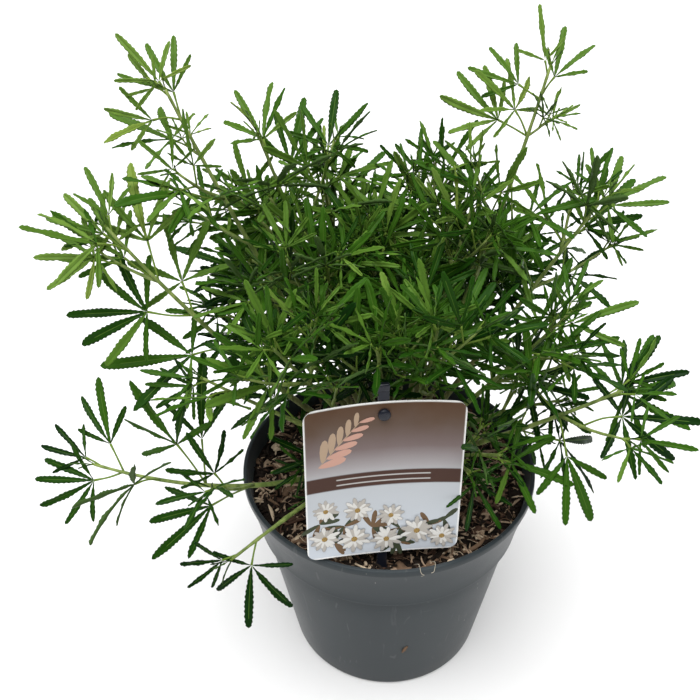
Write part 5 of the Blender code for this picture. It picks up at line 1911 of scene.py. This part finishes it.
def studio_walls():
    """World light that is bright at eye level, dim overhead and dimmer behind the viewer."""
    world = bpy.data.worlds.new("studio")
    bpy.context.scene.world = world
    world.use_nodes = True
    nodes, links = nodes_of(world)
    sky = nodes["Background"]
    split = nodes.new("ShaderNodeSeparateXYZ")
    links.new(nodes.new("ShaderNodeTexCoord").outputs["Generated"], split.inputs["Vector"])
    level = spread(world, split.outputs["Z"], WALL_LIGHT, CEILING_LIGHT, 0, WALL_TOP)
    side = spread(world, split.outputs["Y"], FRONT_WALL_SHARE, 1, -0.8, 0.2)
    links.new(product(world, level, side), sky.inputs["Strength"])
    sky.inputs["Color"].default_value = (1, 1, 1, 1)


def soft_sun():
    lamp = bpy.data.lights.new("soft_sun", "SUN")
    lamp.energy = SUN_STRENGTH
    lamp.angle = SUN_ANGLE
    made = bpy.data.objects.new("soft_sun", lamp)
    bpy.context.scene.collection.objects.link(made)
    made.rotation_euler = Vector(SUN_FROM).to_track_quat("Z", "Y").to_euler()


def make_stage():
    """The pale floor, the soft studio light and the camera."""
    mesh = bpy.data.meshes.new("floor")
    shape = bmesh.new()
    bmesh.ops.create_circle(shape, cap_ends=True, segments=64, radius=FLOOR_RADIUS)
    shape.to_mesh(mesh)
    shape.free()
    floor = bpy.data.objects.new("floor", mesh)
    bpy.context.scene.collection.objects.link(floor)
    pale, shader = new_surface("pale_floor", FLOOR_PALE, 0.9, 0.2)
    feed(pale, shader, "Roughness", spread(pale, noise_node(pale, 30, 2), 0.85, 0.95))
    shader.inputs["Emission Color"].default_value = (1, 1, 1, 1)
    shader.inputs["Emission Strength"].default_value = FLOOR_GLOW
    mesh.materials.append(pale)
    studio_walls()
    soft_sun()
    make_camera()


def make_camera():
    forward = Vector((0, math.cos(CAMERA_PITCH), -math.sin(CAMERA_PITCH)))
    right = Vector((1, 0, 0))
    up = right.cross(forward)
    level = right * math.cos(CAMERA_ROLL) + up * math.sin(CAMERA_ROLL)
    upward = up * math.cos(CAMERA_ROLL) - right * math.sin(CAMERA_ROLL)
    eye = Vector((0, 0, POT_HEIGHT)) - forward * CAMERA_DISTANCE
    eye = eye - level * CAMERA_ASIDE - upward * CAMERA_RAISE
    camera = bpy.data.objects.new("camera", bpy.data.cameras.new("camera"))
    bpy.context.scene.collection.objects.link(camera)
    stand = Matrix((level, upward, -forward)).transposed().to_4x4()
    stand.translation = eye
    camera.matrix_world = stand
    camera.data.sensor_width = SENSOR_WIDTH
    camera.data.lens = SENSOR_WIDTH * CAMERA_FOCAL_PIXELS / PHOTO_WIDTH
    camera.data.clip_start = 0.01
    bpy.context.scene.camera = camera


# The scene

STARTS = starts_on_foot(SHOOTS)
LIMBS = limb_segments(SHOOTS)
CARD_ORIGIN = np.array(CARD_MIDDLE)
CARD_AXES = np.array(card_frame().to_3x3())

TINT_SURFACES = [leaf_surface(f"leaf_{name}", colour, LEAF_GLOSS) for name, colour in TINTS]
RIB = leaf_surface("leaf_rib", RIB_COLOUR, 0.45, 300)
UNDERSIDE = leaf_surface("leaf_underside", UNDER_COLOUR, 0.6, 500)
STALK = leaf_surface("leaf_stalk", STALK_COLOUR, 0.45, 300)
GREEN_BARK = bark_surface("green_stem", GREEN_STEM_DARK, GREEN_STEM_LIGHT, 0.5)
YOUNG_BARK = bark_surface("young_bark", YOUNG_BARK_DARK, YOUNG_BARK_LIGHT, 0.65)
WOOD_BARK = bark_surface("wood_bark", WOOD_DARK, WOOD_LIGHT, 0.8)
CARD_BACK = print_surface("card_back", CARD_BACK_COLOUR)
CARD_RIM = print_surface("card_edge", CARD_WHITE)
RIB_PLACE = len(TINTS)
UNDER_PLACE = RIB_PLACE + 1
STALK_PLACE = RIB_PLACE + 2

limbs = {shoot.name: shoot for shoot in SHOOTS}
grown = {shoot.name: grow(shoot) for shoot in SHOOTS}
make_pot()
make_soil()
make_mulch()
hang_fibres()
make_limbs(limbs)
make_card()
make_card_flowers()
make_stake()
make_foliage(grown, limbs)
make_stage()
bpy.context.scene.view_settings.view_transform = "Standard"
